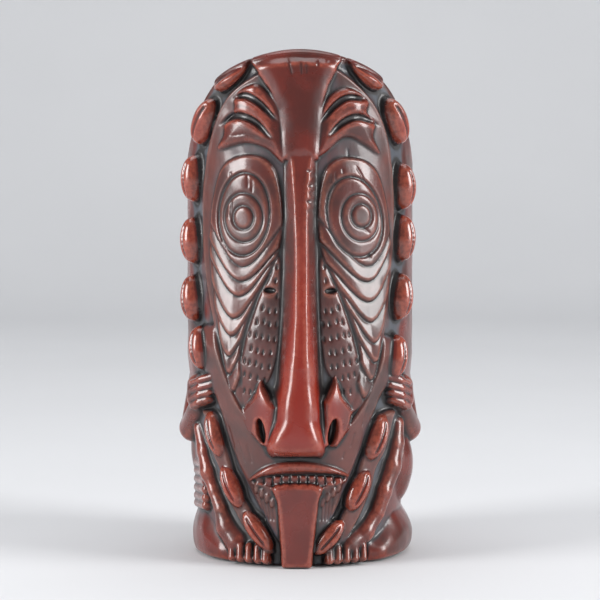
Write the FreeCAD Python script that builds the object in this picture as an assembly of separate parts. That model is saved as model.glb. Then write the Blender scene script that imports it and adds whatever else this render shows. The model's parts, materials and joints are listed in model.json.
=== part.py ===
"""Carved tiki mug: a tall mask, hugged by a crouching figure, modelled round a round cup.

Frame: millimetres, +Z up, the mask looks along -Y, origin at the middle of the flat foot.
The front is laid out in front view: x across and z up, before it is wrapped on the cup.
Heights h are measured outwards from the cup wall, so pieces with matching heights meet.
"""

import FreeCAD, Part
import math
import os

V = FreeCAD.Vector

# ---- driving dimensions ----
HEIGHT = 190.0
FOOT_R = 38.5
BODY_R = 42.5
WAIST_Z = 22.0
BELLY_Z = 75.0
WALL = 4.5
FLOOR_THICK = 8.0
FLOOR_COVE = 6.0

CREST_EDGE_Z = HEIGHT + 2.5
SHOULDER_Z = 146.0
BACK_RIM_Z = 142.0
RIM_DIP_R = 30.0
LIP_ROUND = 1.8

# heights above the wall of the layers of the carving
H_PANEL = 0.8
H_STRAP = 1.0
H_PLATE = 1.8
H_RING = 2.5
H_INNER_RING = 3.1
H_PUPIL = 3.9
H_SCALLOP = 2.7
H_LEAF = 2.5
H_BROW = 3.3
H_CREST = 3.6
H_WING = 6.0
H_LIP = 4.6
H_TEETH = 2.6
H_TONGUE = 5.2
PECK_DEPTH = 0.8
GROOVE = 0.6

STRAP_WIDTH = 7.0
SHELL_R = 4.4
SHELL_LIFT = 1.2
SPINDLE_TIP = 0.15
SLIT_WIDTH = 0.8
SLIT_DEPTH = 1.3
SLIT_SHARE = 0.7
REACH = 75.0
FAR_Z = 230.0

# ---- outlines in front view, (x, z), in order round each piece ----
MASK_PANEL = [[(-16, 181), (-29.5, 170), (-36.5, 146), (-37, 112), (-31, 80), (-20.5, 56),
               (0, 41), (19, 53), (30.3, 75), (35.5, 112), (35.5, 146), (29.5, 168), (15, 182),
               (0, 186), (-16, 181)]]
JAW_LEFT = [(-37, 84), (-31, 56), (-24, 37), (-15, 20), (-7, 9)]
JAW_RIGHT = [(7, 9), (14, 20), (21, 36), (29, 56), (35, 80)]
CREST = [[(-17.5, 185.6), (-8, 187.6), (0, 188), (8, 187.6), (15.5, 186)],
         [(15.5, 186), (11, 178), (8.4, 170), (7, 160), (5.6, 152)],
         [(5.6, 152), (-5.4, 152)],
         [(-5.4, 152), (-5.2, 160), (-6.6, 170), (-11, 178), (-17.5, 185.6)]]
TONGUE = [[(-8.5, 29.6), (6.4, 29.6)], [(6.4, 29.6), (5.4, 15), (4.3, 0)], [(4.3, 0), (-5.8, 0)],
          [(-5.8, 0), (-7, 15), (-8.5, 29.6)]]
UPPER_LIP = [[(-19, 31.8), (-9, 38.2), (0, 39.8), (7.5, 38.4), (18.4, 33.2)],
             [(18.4, 33.2), (8, 35.2), (0, 35.6), (-9, 35), (-19, 31.8)]]

LEFT = {
    "plate": [(-20.6, 56.5), (-27.3, 68), (-32.6, 95), (-34.4, 122), (-30, 145), (-20, 150.4),
              (-10.6, 146), (-6.3, 130), (-8.5, 115), (-16.7, 99), (-22.4, 80), (-20.6, 56.5)],
    "rings": [(-20.9, 130.5, 8.7, 14.5, 4), (-21.1, 129.2, 6.3, 8.2, 0), (-21.1, 129.4, 3.6, 4.2, 0)],
    "scallops": [[(-36.5, 130), (-21.6, 111), (-5, 128)], [(-36.5, 123.5), (-22.5, 105.6), (-6.6, 119)],
                 [(-36.3, 117), (-23.4, 100), (-10, 113)], [(-35.8, 109), (-25.2, 91.8), (-13.6, 105)],
                 [(-34.8, 100), (-26, 85.2), (-17.2, 97)], [(-33.6, 92), (-27, 77.6), (-19.4, 89.5)],
                 [(-32, 84), (-27, 71), (-20.6, 82.5)], [(-30.4, 76.5), (-25.4, 64.6), (-20.4, 76)]],
    "leaf": [(-7.6, 115), (-7.6, 100), (-9.4, 80), (-11.6, 69.5)],
    "leaf_foot": [(-11.6, 69.5), (-14.6, 66), (-20.4, 57.6)],
    "leaf_edge": [(-20.4, 57.6), (-21.8, 70), (-21.5, 80), (-16, 98), (-12, 106), (-7.6, 115)],
    "leaf_eye": (-11.2, 102.4),
    "wing": [[(-13.7, 68.5), (-17.4, 62), (-21.2, 57)], [(-21.2, 57), (-19, 52), (-12.6, 46.4)],
             [(-12.6, 46.4), (-9, 47)], [(-9, 47), (-9, 59), (-13.7, 68.5)]],
    "nostril": (-13.8, 51.4, 1.9, 4.2),
    "brows": [[[(-23.4, 173.6), (-17, 177), (-9.6, 170.6)], [(-9.6, 170.6), (-15, 173), (-23.4, 173.6)]],
              [[(-28, 164.6), (-21, 170), (-9.6, 165.2)], [(-9.6, 165.2), (-20, 166), (-28, 164.6)]],
              [[(-30, 153.4), (-21, 161.8), (-12, 159.4), (-6, 148.4)],
               [(-6, 148.4), (-12, 154), (-20, 155.6), (-30, 153.4)]]],
    "shells": [(-24.3, 180, 49, 17.5), (-36.8, 162, 33, 18), (-41.2, 142, 4, 17.5), (-42.1, 120.6, -3, 17),
               (-40.2, 100.6, -8, 17), (-38.6, 80.4, -12, 15.5), (-32, 47.4, -34, 17.5),
               (-26.2, 29.6, -35, 16), (-15.7, 12, -42, 16)],
    "fist": (-39.4, 64.2),
}
RIGHT = {
    "plate": [(18.8, 56.6), (27.5, 67), (33, 95), (34.8, 120), (29, 145), (18.7, 150),
              (9.5, 146), (6.1, 130), (8.5, 115), (16.7, 98), (22.6, 78), (18.8, 56.6)],
    "rings": [(20.7, 129, 9.4, 14.6, -14), (22.7, 129.2, 6, 8.2, -10), (23.2, 129.6, 3.4, 4, -8)],
    "scallops": [[(36.8, 127), (25.4, 111.2), (4.8, 131)], [(36.8, 122), (25.6, 105.4), (7, 120.5)],
                 [(36.6, 114), (26, 98), (11, 111)], [(35.8, 105.5), (26.8, 90.4), (15, 102.5)],
                 [(34.8, 98.5), (28, 82.6), (18.4, 95)], [(33.6, 89.5), (28.2, 75.4), (19.8, 88)],
                 [(32.2, 82.5), (26.6, 68.8), (20.8, 80.5)], [(30.4, 75), (24.2, 62), (19.6, 74)]],
    "leaf": [(7.6, 115), (7.6, 100), (8.8, 80), (10.2, 72.4)],
    "leaf_foot": [(10.2, 72.4), (14.6, 66), (18.4, 57.8)],
    "leaf_edge": [(18.4, 57.8), (21.6, 68), (21.8, 78), (16, 97), (12, 106), (7.6, 115)],
    "leaf_eye": (11.4, 102.2),
    "wing": [[(11.8, 70.4), (14.8, 63), (18.2, 57.4)], [(18.2, 57.4), (16.8, 52), (12.4, 46)],
             [(12.4, 46), (8, 46.6)], [(8, 46.6), (8, 61), (11.8, 70.4)]],
    "nostril": (10.4, 51.0, 2.0, 4.4),
    "brows": [[[(9.2, 170.8), (16.5, 175.6), (23, 173)], [(23, 173), (17, 172.4), (9.2, 170.8)]],
              [[(9.4, 164.6), (18, 169), (27.4, 164)], [(27.4, 164), (18, 165.6), (9.4, 164.6)]],
              [[(6.4, 151), (11, 159), (19, 162), (26, 159.6), (29.8, 152)],
               [(29.8, 152), (18, 157.8), (9.6, 152.6), (6.4, 151)]]],
    "shells": [(23.2, 180.6, -50, 17.5), (35.4, 164, -34, 17.5), (39.8, 141.6, -2, 16.5),
               (40.2, 118.8, 3, 16.5), (38.8, 96, 9, 17), (36.4, 77.4, 10, 15.5), (28.8, 46.8, 27, 18.5),
               (21.6, 27, 32, 16), (10.8, 11.6, 46, 15)],
    "fist": (38.4, 64.0),
}

# the nose by height: z, left foot, left edge of the ridge, right edge, right foot, h of the ridge
NOSE = [(152, -5.4, -4.0, 4.0, 5.6, 3.9), (140, -5.4, -3.2, 3.2, 5.8, 4.8),
        (120, -5.6, -2.7, 2.7, 6.4, 5.6), (100, -6.0, -2.7, 2.7, 6.9, 6.8),
        (80, -7.0, -3.0, 3.0, 7.0, 8.6), (64, -8.2, -3.6, 3.4, 7.4, 10.6),
        (54, -10.2, -4.6, 4.2, 8.8, 12.2), (47, -11.6, -6.0, 5.6, 10.1, 12.4),
        (42.6, -10.4, -5.6, 5.4, 9.2, 9.4)]

PECK_ROWS = [98, 92.6, 87.2, 81.8, 76.4, 71]
PECK_STEP = 2.7
PECK_SIZE = (0.7, 2.4)
LEAF_EYE_SIZE = (2.3, 1.4)

# inner and outer end of a row of pecks, as it drifts outwards and bends on the way down
PECK_INNER = (9.2, 0.09)
PECK_OUTER = (14.2, 0.34, -0.0045)

UPPER_TEETH = 10
TOOTH_WIDTH = 3.3
TOOTH_GAP = 0.3
TOOTH_ROW_X = -0.4
TOOTH_Z = (30.6, 33.4)
TOOTH_ROW_BEND = 0.008
LOWER_TEETH = 4
LOWER_TOOTH = (1.1, 1.6)
LOWER_ROWS = [(-15.6, -10.2), (14.2, 8.2)]
LOWER_ROW_TOP = 29.0
LOWER_ROW_DROP = 5.4

# the hidden figure: angles are in degrees from the front, r from the cup's axis
FINGERS = 4
FINGER_R = 2.1
KNUCKLE_R = 2.6
FINGER_STEP = 3.5
FINGER_HALF_ANGLE = 9
FINGER_TIP = (44.0, 1.5)
FINGER_KNUCKLE = (43.6, -1.5)
WRIST = (6, 41.0, -4)
ELBOW = (85, 40.6, 50)
SHOULDER = (126, 37.5, 90)
FOREARM_RADII = (5.0, 4.2)
UPPER_ARM_RADII = (4.6, 8.0)
SHIN_RADII = (4.0, 2.9)
INSTEP_RADII = (3.4, 2.6)
TOE_RADII = (1.9, 2.0)
SPINE_FURROW_R = 1.4
TORSO = (10, 62, 38, 64)
HEAD = (30.5, 117, 17.5, 22)
HAIR_LOCKS = 7
HAIR_HALF_ANGLE = 60
HAIR_PART_R = 0.9
BEAD_Z = [39.6, 35.2, 30.8, 26.4, 22.0]
BEAD_R = 2.1
TOES = {"left": [-26.2, -22.6, -18.8, -15, -11.6], "right": [10.4, 14.4, 18, 21.2, 24]}
KNEE = {"left": (-38, 45.5), "right": (36.2, 49)}
ANKLE = {"left": (-30.5, 13.5), "right": (27, 12.5)}
HIP = {"left": (100, 32.5, 38, 9.4, 19), "right": (80, 32.5, 34, 10.8, 19)}
BASE_RING_FROM = 43.0
BASE_RING_TOP = 17.0
BASE_RING_BELLY_Z = 7.0
BASE_RING_R = 41.6
BASE_RING_TUCK = 1.2


def stack_z(radius_low, radius_high):
    """Profile points, from the foot to above the rim, of a wall with these two radii."""
    return [(radius_low, 0), (radius_low, WAIST_Z), (radius_high, BELLY_Z), (radius_high, FAR_Z)]


def body(h):
    """Solid of the cup's outside grown by h, from the foot to above the rim."""
    ring = [V(0, 0, 0)] + [V(r, 0, z) for r, z in stack_z(FOOT_R + h, BODY_R + h)] + [V(0, 0, FAR_Z)]
    face = Part.Face(Part.makePolygon(ring + [ring[0]]))
    return face.revolve(V(0, 0, 0), V(0, 0, 1), 360)


def wall_radius(z):
    """Outside radius of the cup wall at height z."""
    share = min(1.0, max(0.0, (z - WAIST_Z) / (BELLY_Z - WAIST_Z)))
    return FOOT_R + share * (BODY_R - FOOT_R)


def spot(x, z, h):
    """Point seen at x, z in front view that stands h off the wall."""
    r = wall_radius(z) + h
    return V(x, -math.sqrt(max(0.0, r * r - x * x)), z)


def turned(angle, radius, z):
    """Point at an angle in degrees from the front, positive towards +X."""
    a = math.radians(angle)
    return V(radius * math.sin(a), -radius * math.cos(a), z)


def below_rim():
    """Space under the mouth: a slope from the crest to the shoulders, then a level back."""
    slope = math.atan2(CREST_EDGE_Z - SHOULDER_Z, BODY_R)
    run = RIM_DIP_R * math.tan(slope / 2)
    meet_y = (SHOULDER_Z - BACK_RIM_Z) / math.tan(slope)
    start = V(0, meet_y - run * math.cos(slope), BACK_RIM_Z + run * math.sin(slope))
    end = V(0, meet_y + run, BACK_RIM_Z)
    centre = end + V(0, 0, RIM_DIP_R)
    half = slope / 2
    middle = centre + V(0, -RIM_DIP_R * math.sin(half), -RIM_DIP_R * math.cos(half))
    front_z = SHOULDER_Z + REACH * math.tan(slope)
    edges = [
        Part.makeLine(V(0, -REACH, -1), V(0, -REACH, front_z)),
        Part.makeLine(V(0, -REACH, front_z), start),
        Part.Arc(start, middle, end).toShape(),
        Part.makeLine(end, V(0, REACH, BACK_RIM_Z)),
        Part.makeLine(V(0, REACH, BACK_RIM_Z), V(0, REACH, -1)),
        Part.makeLine(V(0, REACH, -1), V(0, -REACH, -1)),
    ]
    face = Part.Face(Part.Wire(edges))
    face.translate(V(-REACH, 0, 0))
    return face.extrude(V(2 * REACH, 0, 0))


def curve(points):
    """Edge through the points: a line through two, a smooth curve through more."""
    vectors = [V(x, 0, z) for x, z in points]
    if len(vectors) == 2:
        return Part.makeLine(vectors[0], vectors[1])
    spline = Part.BSplineCurve()
    spline.interpolate(vectors)
    return spline.toShape()


def column(runs):
    """Outline in front view, pushed forwards from the cup's axis."""
    face = Part.Face(Part.Wire([curve(run) for run in runs]))
    return face.extrude(V(0, -REACH, 0))


def oval_column(x, z, half_x, half_z, lean):
    """Oval in front view, its top leaning towards +X, pushed forwards from the axis."""
    long_half, short_half = max(half_x, half_z), min(half_x, half_z)
    oval = Part.Ellipse(V(0, 0, 0), long_half, short_half).toShape()
    face = Part.Face(Part.Wire(oval))
    face.rotate(V(0, 0, 0), V(1, 0, 0), 90)
    face.rotate(V(0, 0, 0), V(0, 1, 0), (90 if half_z > half_x else 0) + lean)
    face.translate(V(x, 0, z))
    return face.extrude(V(0, -REACH, 0))


def layer(shape, h_low, h_high):
    """Part of a column between two heights above the wall."""
    return shape.common(body(h_high)).cut(body(h_low))


def bar(start, end, r_start, r_end):
    """Round limb between two points, with ball ends of two radii."""
    along = end - start
    length = along.Length
    tilt = math.asin((r_start - r_end) / length)
    side, lean = math.cos(tilt), math.sin(tilt)
    half = (math.pi / 2 - tilt) / 2
    low_mid = V(-r_start * math.cos(half), 0, r_start * math.sin(half))
    high_half = (math.pi / 2 + tilt) / 2
    high_mid = V(length + r_end * math.cos(high_half), 0, r_end * math.sin(high_half))
    a, b = V(-r_start, 0, 0), V(r_start * lean, 0, r_start * side)
    c, d = V(length + r_end * lean, 0, r_end * side), V(length + r_end, 0, 0)
    edges = [Part.Arc(a, low_mid, b).toShape(), Part.makeLine(b, c), Part.Arc(c, high_mid, d).toShape(),
             Part.makeLine(d, a)]
    solid = Part.Face(Part.Wire(edges)).revolve(V(0, 0, 0), V(1, 0, 0), 360)
    solid.Placement = FreeCAD.Placement(start, FreeCAD.Rotation(V(1, 0, 0), along))
    return solid


def spindle(half_length, radius):
    """Rounded spindle about Z, centred on the origin, with tiny flat tips."""
    tip = SPINDLE_TIP
    oval = Part.Ellipse(V(0, 0, half_length), V(radius, 0, 0), V(0, 0, 0))
    arc = Part.ArcOfEllipse(oval, tip - math.pi, -tip).toShape()
    ends = sorted((v.Point for v in arc.Vertexes), key=lambda p: p.z)
    low, high = V(0, 0, ends[0].z), V(0, 0, ends[1].z)
    edges = [arc, Part.makeLine(ends[1], high), Part.makeLine(high, low), Part.makeLine(low, ends[0])]
    return Part.Face(Part.Wire(edges)).revolve(V(0, 0, 0), V(0, 0, 1), 360)


def largest(shape):
    """The main solid of a cut shape, without the slivers left beside it."""
    return max(shape.Solids, key=lambda solid: solid.Volume)


def clear_of(shape, others):
    """The shape without the space that earlier pieces hold."""
    for other in others:
        shape = shape.cut(other)
    return shape


def cup_wall():
    """Round wall of the cup, cut by the sloping mouth, with a soft lip."""
    inner = [V(0, 0, -1), V(FOOT_R - WALL, 0, -1)]
    inner += [V(r, 0, z) for r, z in stack_z(FOOT_R - WALL, BODY_R - WALL)[1:]] + [V(0, 0, FAR_Z)]
    hollow = Part.Face(Part.makePolygon(inner + [inner[0]])).revolve(V(0, 0, 0), V(0, 0, 1), 360)
    wall = body(0).cut(hollow).common(below_rim())
    lip = [e for e in wall.Edges if e.BoundBox.ZMin > BACK_RIM_Z - 1 and e.BoundBox.XLength > WALL + 1]
    return wall.makeFillet(LIP_ROUND, lip)


def cup_floor():
    """Thick floor whose upper edge curves up into the wall."""
    r = FOOT_R - WALL
    top = FLOOR_THICK + FLOOR_COVE
    bend = math.sin(math.radians(45))
    cove_mid = V(r - FLOOR_COVE + FLOOR_COVE * bend, 0, top - FLOOR_COVE * bend)
    edges = [
        Part.makeLine(V(0, 0, 0), V(r, 0, 0)),
        Part.makeLine(V(r, 0, 0), V(r, 0, top)),
        Part.Arc(V(r, 0, top), cove_mid, V(r - FLOOR_COVE, 0, FLOOR_THICK)).toShape(),
        Part.makeLine(V(r - FLOOR_COVE, 0, FLOOR_THICK), V(0, 0, FLOOR_THICK)),
        Part.makeLine(V(0, 0, FLOOR_THICK), V(0, 0, 0)),
    ]
    return Part.Face(Part.Wire(edges)).revolve(V(0, 0, 0), V(0, 0, 1), 360)


def mask_panel():
    """Thin sunken face field that carries the eyes, brows and nose."""
    return layer(column(MASK_PANEL), 0, H_PANEL)


def jaw_panel():
    """Jaw below the V of the face, round the mouth and down to the chin."""
    runs = [JAW_LEFT, [JAW_LEFT[-1], JAW_RIGHT[0]], JAW_RIGHT, [JAW_RIGHT[-1], JAW_LEFT[0]]]
    return layer(column(runs).cut(column(MASK_PANEL)).cut(column(TONGUE)), 0, H_PANEL)


def forehead_crest(panel):
    """Wedge over the forehead that narrows into the bridge of the nose."""
    return layer(column(CREST), 0, H_CREST).cut(panel)


def nose():
    """Long nose with a narrow ridge that widens and swells to a blunt tip."""
    sections = []
    for z, left, ridge_left, ridge_right, right, h in NOSE:
        r = wall_radius(z)
        top = [V(left, -r, z), V(ridge_left, -(r + 0.9 * h), z), V(0, -(r + h), z),
               V(ridge_right, -(r + 0.9 * h), z), V(right, -r, z)]
        spline = Part.BSplineCurve()
        spline.interpolate(top)
        back = [V(right, -r + 5, z), V(left, -r + 5, z)]
        corners = [top[-1]] + back + [top[0]]
        lines = [Part.makeLine(a, b) for a, b in zip(corners, corners[1:])]
        sections.append(Part.Wire([spline.toShape()] + lines))
    solid = Part.makeLoft(sections, True, True)
    return solid.cut(body(H_PANEL))


def nostril_wing(side, nose_solid):
    """Flared wing beside the tip of the nose, with its deep nostril."""
    hole = layer(oval_column(*side["nostril"], 0), H_WING / 3, REACH)
    return layer(column(side["wing"]), H_PANEL, H_WING).cut(hole).cut(nose_solid)


def brows(side, others):
    """Three arched brow ridges over one eye."""
    arches = [layer(column(runs), H_PANEL, H_BROW) for runs in side["brows"]]
    return Part.makeCompound([clear_of(arch, others) for arch in arches])


def eye_plate(side, wing):
    """Tear-shaped plate under the eye and its scallops."""
    return layer(column([side["plate"]]), H_PANEL, H_PLATE).cut(wing)


def eye_rings(side):
    """Two oval steps round the pupil."""
    outer = layer(oval_column(*side["rings"][0]), H_PLATE, H_RING)
    inner = layer(oval_column(*side["rings"][1]), H_RING, H_INNER_RING)
    return Part.makeCompound([outer, inner])


def pupil(side):
    """Raised oval pupil on the innermost step."""
    return layer(oval_column(*side["rings"][2]), H_INNER_RING, H_PUPIL)


def under_arc(arc, drop):
    """Column of everything below a hanging arc lowered by drop, out past the plate's edges."""
    bottom = min(z for x, z in arc) - 60
    arc = [(x, z - drop) for x, z in arc]
    past = math.copysign(5, arc[0][0] - arc[-1][0])
    start, end = (arc[0][0] + past, arc[0][1] + 5), (arc[-1][0] - past, arc[-1][1] + 5)
    return column([[start, arc[0]], arc, [arc[-1], end], [end, (end[0], bottom)],
                   [(end[0], bottom), (start[0], bottom)], [(start[0], bottom), start]])


def cheek_scallops(side, wing):
    """Overlapping scallops below the eye, down to the point of the plate."""
    arcs = side["scallops"]
    plate = column([side["plate"]]).cut(oval_column(*side["rings"][0]))
    bands = []
    for number, arc in enumerate(arcs):
        band = plate.common(under_arc(arc, GROOVE))
        if number + 1 < len(arcs):
            band = band.cut(under_arc(arcs[number + 1], 0))
        bands.append(layer(band, H_PLATE, H_SCALLOP).cut(wing))
    return Part.makeCompound(bands)


def cheek_leaf(side, others):
    """Pecked leaf between the nose and the scallops, with its small almond hole."""
    leaf = column([side["leaf"], side["leaf_foot"], side["leaf_edge"]])
    eye_x, eye_z = side["leaf_eye"]
    cuts = [oval_column(eye_x, eye_z, *LEAF_EYE_SIZE, 0)]
    sign = math.copysign(1, eye_x)
    half_w, half_h = PECK_SIZE[0] / 2, PECK_SIZE[1] / 2
    for z in PECK_ROWS:
        down = PECK_ROWS[0] - z
        inner = PECK_INNER[0] + PECK_INNER[1] * down
        outer = PECK_OUTER[0] + PECK_OUTER[1] * down + PECK_OUTER[2] * down**2
        for i in range(int((outer - inner) / PECK_STEP) + 1):
            cuts.append(oval_column(sign * (inner + i * PECK_STEP), z, half_w, half_h, 0))
    holes = [layer(cut, H_LEAF - PECK_DEPTH, REACH) for cut in cuts]
    return clear_of(layer(leaf, H_PANEL, H_LEAF), others).cut(Part.makeCompound(holes))


def upper_lip(nose_solid):
    """Thin upper lip with turned-down corners."""
    return layer(column(UPPER_LIP), H_PANEL, H_LIP).cut(nose_solid)


def upper_teeth():
    """Row of square teeth under the upper lip."""
    teeth = []
    start = TOOTH_ROW_X - 0.5 * UPPER_TEETH * TOOTH_WIDTH
    for i in range(UPPER_TEETH):
        x0 = start + i * TOOTH_WIDTH + TOOTH_GAP / 2
        x1 = x0 + TOOTH_WIDTH - TOOTH_GAP
        top = TOOTH_Z[1] - TOOTH_ROW_BEND * (0.5 * (x0 + x1)) ** 2
        box = [(x0, TOOTH_Z[0]), (x1, TOOTH_Z[0]), (x1, top), (x0, top)]
        sides = [[a, b] for a, b in zip(box, box[1:] + box[:1])]
        teeth.append(layer(column(sides).cut(column(UPPER_LIP)), H_PANEL, H_TEETH))
    return Part.makeCompound(teeth)


def lower_teeth():
    """Small slanting teeth on both sides of the tongue."""
    teeth = []
    for x0, x1 in LOWER_ROWS:
        for i in range(LOWER_TEETH):
            share = i / (LOWER_TEETH - 1)
            z = LOWER_ROW_TOP - LOWER_ROW_DROP * share
            tooth = oval_column(x0 + share * (x1 - x0), z, *LOWER_TOOTH, 0)
            teeth.append(layer(tooth, H_PANEL, H_TEETH))
    return Part.makeCompound(teeth)


def tongue():
    """Flat tongue that hangs from the mouth to the foot of the mug."""
    return layer(column(TONGUE), 0, H_TONGUE).cut(column(MASK_PANEL))


def shell_angle(x, z):
    """Angle round the mug of a shell whose top is seen at x in front view."""
    return math.degrees(math.asin(x / (wall_radius(z) + SHELL_R)))


def shell(x, z, lean, length):
    """Cowrie shell: a plump spindle with a slit down its middle, laid on the strap."""
    solid = spindle(length / 2, SHELL_R)
    solid.rotate(V(0, 0, 0), V(0, 0, 1), 90)
    slit_length = SLIT_SHARE * length
    slit = Part.makeBox(SLIT_WIDTH, SLIT_DEPTH + 1, slit_length,
                        V(-SLIT_WIDTH / 2, -SHELL_R - 1, -slit_length / 2))
    solid = solid.cut(slit)
    solid.rotate(V(0, 0, 0), V(0, 1, 0), lean)
    solid.translate(V(0, -(wall_radius(z) + SHELL_LIFT), z))
    solid.rotate(V(0, 0, 0), V(0, 0, 1), shell_angle(x, z))
    return solid.cut(body(H_STRAP))


def shell_strap(side, sign, others):
    """Flat strap under one row of shells, from the brow of the mug to its foot."""
    view = 45.0 * sign
    middle = [(15.5 * sign, 185.5)] + [(x, z) for x, z, lean, length in side["shells"]] + [(8 * sign, 4)]
    flat = []
    for x, z in middle:
        r = wall_radius(z) + SHELL_R
        flat.append((r * math.sin(math.asin(x / r) - math.radians(view)), z))
    left, right = [], []
    for i, (u, z) in enumerate(flat):
        u0, z0 = flat[max(0, i - 1)]
        u1, z1 = flat[min(len(flat) - 1, i + 1)]
        length = math.hypot(u1 - u0, z1 - z0)
        nu, nz = (z1 - z0) / length * STRAP_WIDTH / 2, -(u1 - u0) / length * STRAP_WIDTH / 2
        left.append((u - nu, z - nz))
        right.append((u + nu, z + nz))
    strap = column([left, [left[-1], right[-1]], list(reversed(right)), [right[0], left[0]]])
    strap.rotate(V(0, 0, 0), V(0, 0, 1), view)
    return clear_of(layer(strap, 0, H_STRAP).common(below_rim()), others)


def fist(side, others):
    """Four fingers closed over the edge of the mask."""
    x, z = side["fist"]
    sign = math.copysign(1, x)
    middle = abs(shell_angle(x, z))
    tip_r, tip_up = FINGER_TIP
    knuckle_r, knuckle_up = FINGER_KNUCKLE
    solid = None
    for i in range(FINGERS):
        finger_z = z + (0.5 * (FINGERS - 1) - i) * FINGER_STEP
        tip = turned(sign * (middle - FINGER_HALF_ANGLE), tip_r, finger_z + tip_up)
        knuckle = turned(sign * (middle + FINGER_HALF_ANGLE), knuckle_r, finger_z + knuckle_up)
        finger = bar(knuckle, tip, KNUCKLE_R, FINGER_R)
        solid = finger if solid is None else solid.fuse(finger)
    return clear_of(solid.cut(body(0)), others)


def forearm(side, sign, others):
    """Forearm from the fist back to the elbow."""
    x, z = side["fist"]
    past, radius, up = WRIST
    wrist = turned(sign * (abs(shell_angle(x, z)) + past), radius, z + up)
    elbow = turned(sign * ELBOW[0], ELBOW[1], ELBOW[2])
    return clear_of(bar(elbow, wrist, *FOREARM_RADII).cut(body(0)), others)


def upper_arm(sign, others):
    """Upper arm from the elbow up to the shoulder at the back."""
    elbow = turned(sign * ELBOW[0], ELBOW[1], ELBOW[2])
    shoulder = turned(sign * SHOULDER[0], SHOULDER[1], SHOULDER[2])
    return clear_of(bar(elbow, shoulder, *UPPER_ARM_RADII).cut(body(0)), others)


def shin(name, others):
    """Shin from the raised knee down to the ankle."""
    knee = spot(*KNEE[name], 0.4)
    ankle = spot(*ANKLE[name], 0.6)
    return clear_of(bar(knee, ankle, *SHIN_RADII).cut(body(0)), others)


def haunch(name, sign, others):
    """Thigh folded upright against the side of the mug."""
    angle, r, z, radius, half = HIP[name]
    solid = spindle(half, radius)
    solid.translate(turned(sign * angle, r, z))
    return clear_of(solid.cut(body(0)), others)


def foot(name, others):
    """Foot with five toes side by side on the ground."""
    toes = TOES[name]
    inner = min(toes, key=abs)
    ball = spot(0.5 * (sum(toes) / len(toes) + inner), 7, 0.2)
    solid = bar(spot(*ANKLE[name], 0.4), ball, *INSTEP_RADII)
    for x in toes:
        solid = solid.fuse(bar(spot(x, 6.6, 0.6), spot(x, 2.6, 1.7), *TOE_RADII))
    return clear_of(solid.cut(body(0)), others)


def hip_beads(others):
    """Column of rolled beads on the left hip."""
    beads = []
    for z in BEAD_Z:
        bead = bar(turned(-84, 38.8, z), turned(-68, 39.4, z + 1.2), BEAD_R, BEAD_R).cut(body(0))
        beads.append(clear_of(bead, others))
    return Part.makeCompound(beads)


def base_ring(others):
    """Rounded ledge round the foot, from one foot past the back to the other."""
    inner_low, inner_top = V(0, -FOOT_R, 0), V(0, -FOOT_R, BASE_RING_TOP)
    outer_low = V(0, -BASE_RING_R + BASE_RING_TUCK, 0)
    belly = V(0, -BASE_RING_R, BASE_RING_BELLY_Z)
    edges = [
        Part.makeLine(inner_low, outer_low),
        Part.Arc(outer_low, belly, inner_top).toShape(),
        Part.makeLine(inner_top, inner_low),
    ]
    face = Part.Face(Part.Wire(edges))
    face.rotate(V(0, 0, 0), V(0, 0, 1), BASE_RING_FROM)
    return largest(clear_of(face.revolve(V(0, 0, 0), V(0, 0, 1), 360 - 2 * BASE_RING_FROM), others))


def figure_back(others):
    """Bent back of the crouching figure, with a furrow down the spine."""
    r, z, radius, half = TORSO
    solid = spindle(half, radius)
    solid.translate(V(0, r, z))
    furrow = Part.makeCylinder(SPINE_FURROW_R, 2 * half, V(0, r + radius, z - half))
    return largest(clear_of(solid.cut(furrow).cut(body(0)), others))


def figure_head(others):
    """Back of the figure's head, with hair in rolled locks."""
    y, z, radius, half = HEAD
    solid = spindle(half, radius)
    solid.translate(V(0, y, z))
    for i in range(HAIR_LOCKS):
        a = math.radians(-HAIR_HALF_ANGLE + 2 * HAIR_HALF_ANGLE * i / (HAIR_LOCKS - 1))
        centre = V(radius * math.sin(a), y + radius * math.cos(a), z - half)
        solid = solid.cut(Part.makeCylinder(HAIR_PART_R, 2 * half, centre))
    return clear_of(solid.cut(body(0)), others)


def mask_middle():
    """Pieces on the middle line of the mask, by name."""
    made = {"mask_panel": mask_panel(), "jaw_panel": jaw_panel()}
    made["forehead_crest"] = forehead_crest(made["mask_panel"])
    made["nose"] = nose()
    made["upper_lip"] = upper_lip(made["nose"])
    made["upper_teeth"] = upper_teeth()
    made["lower_teeth"] = lower_teeth()
    made["tongue"] = tongue()
    return made


def mask_side(middle, name, side, sign):
    """Eye, cheek, wing, strap and shells of one side, by name."""
    made = {}
    crest, bridge, jaw, tip = [middle[key] for key in ("forehead_crest", "nose", "jaw_panel", "tongue")]
    wing = nostril_wing(side, bridge)
    plate = eye_plate(side, wing)
    brow = brows(side, [crest, bridge])
    made[name + "_nostril_wing"] = wing
    made[name + "_eye_plate"] = plate
    made[name + "_brows"] = brow
    made[name + "_eye_rings"] = eye_rings(side)
    made[name + "_pupil"] = pupil(side)
    made[name + "_cheek_scallops"] = cheek_scallops(side, wing)
    made[name + "_cheek_leaf"] = cheek_leaf(side, [wing, plate, bridge])
    made[name + "_shell_strap"] = shell_strap(side, sign, [middle["mask_panel"], jaw, crest, tip])
    for number, row in enumerate(side["shells"], 1):
        made[name + "_shell_%d" % number] = clear_of(shell(*row), [crest, brow, jaw, tip])
    return made


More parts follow.
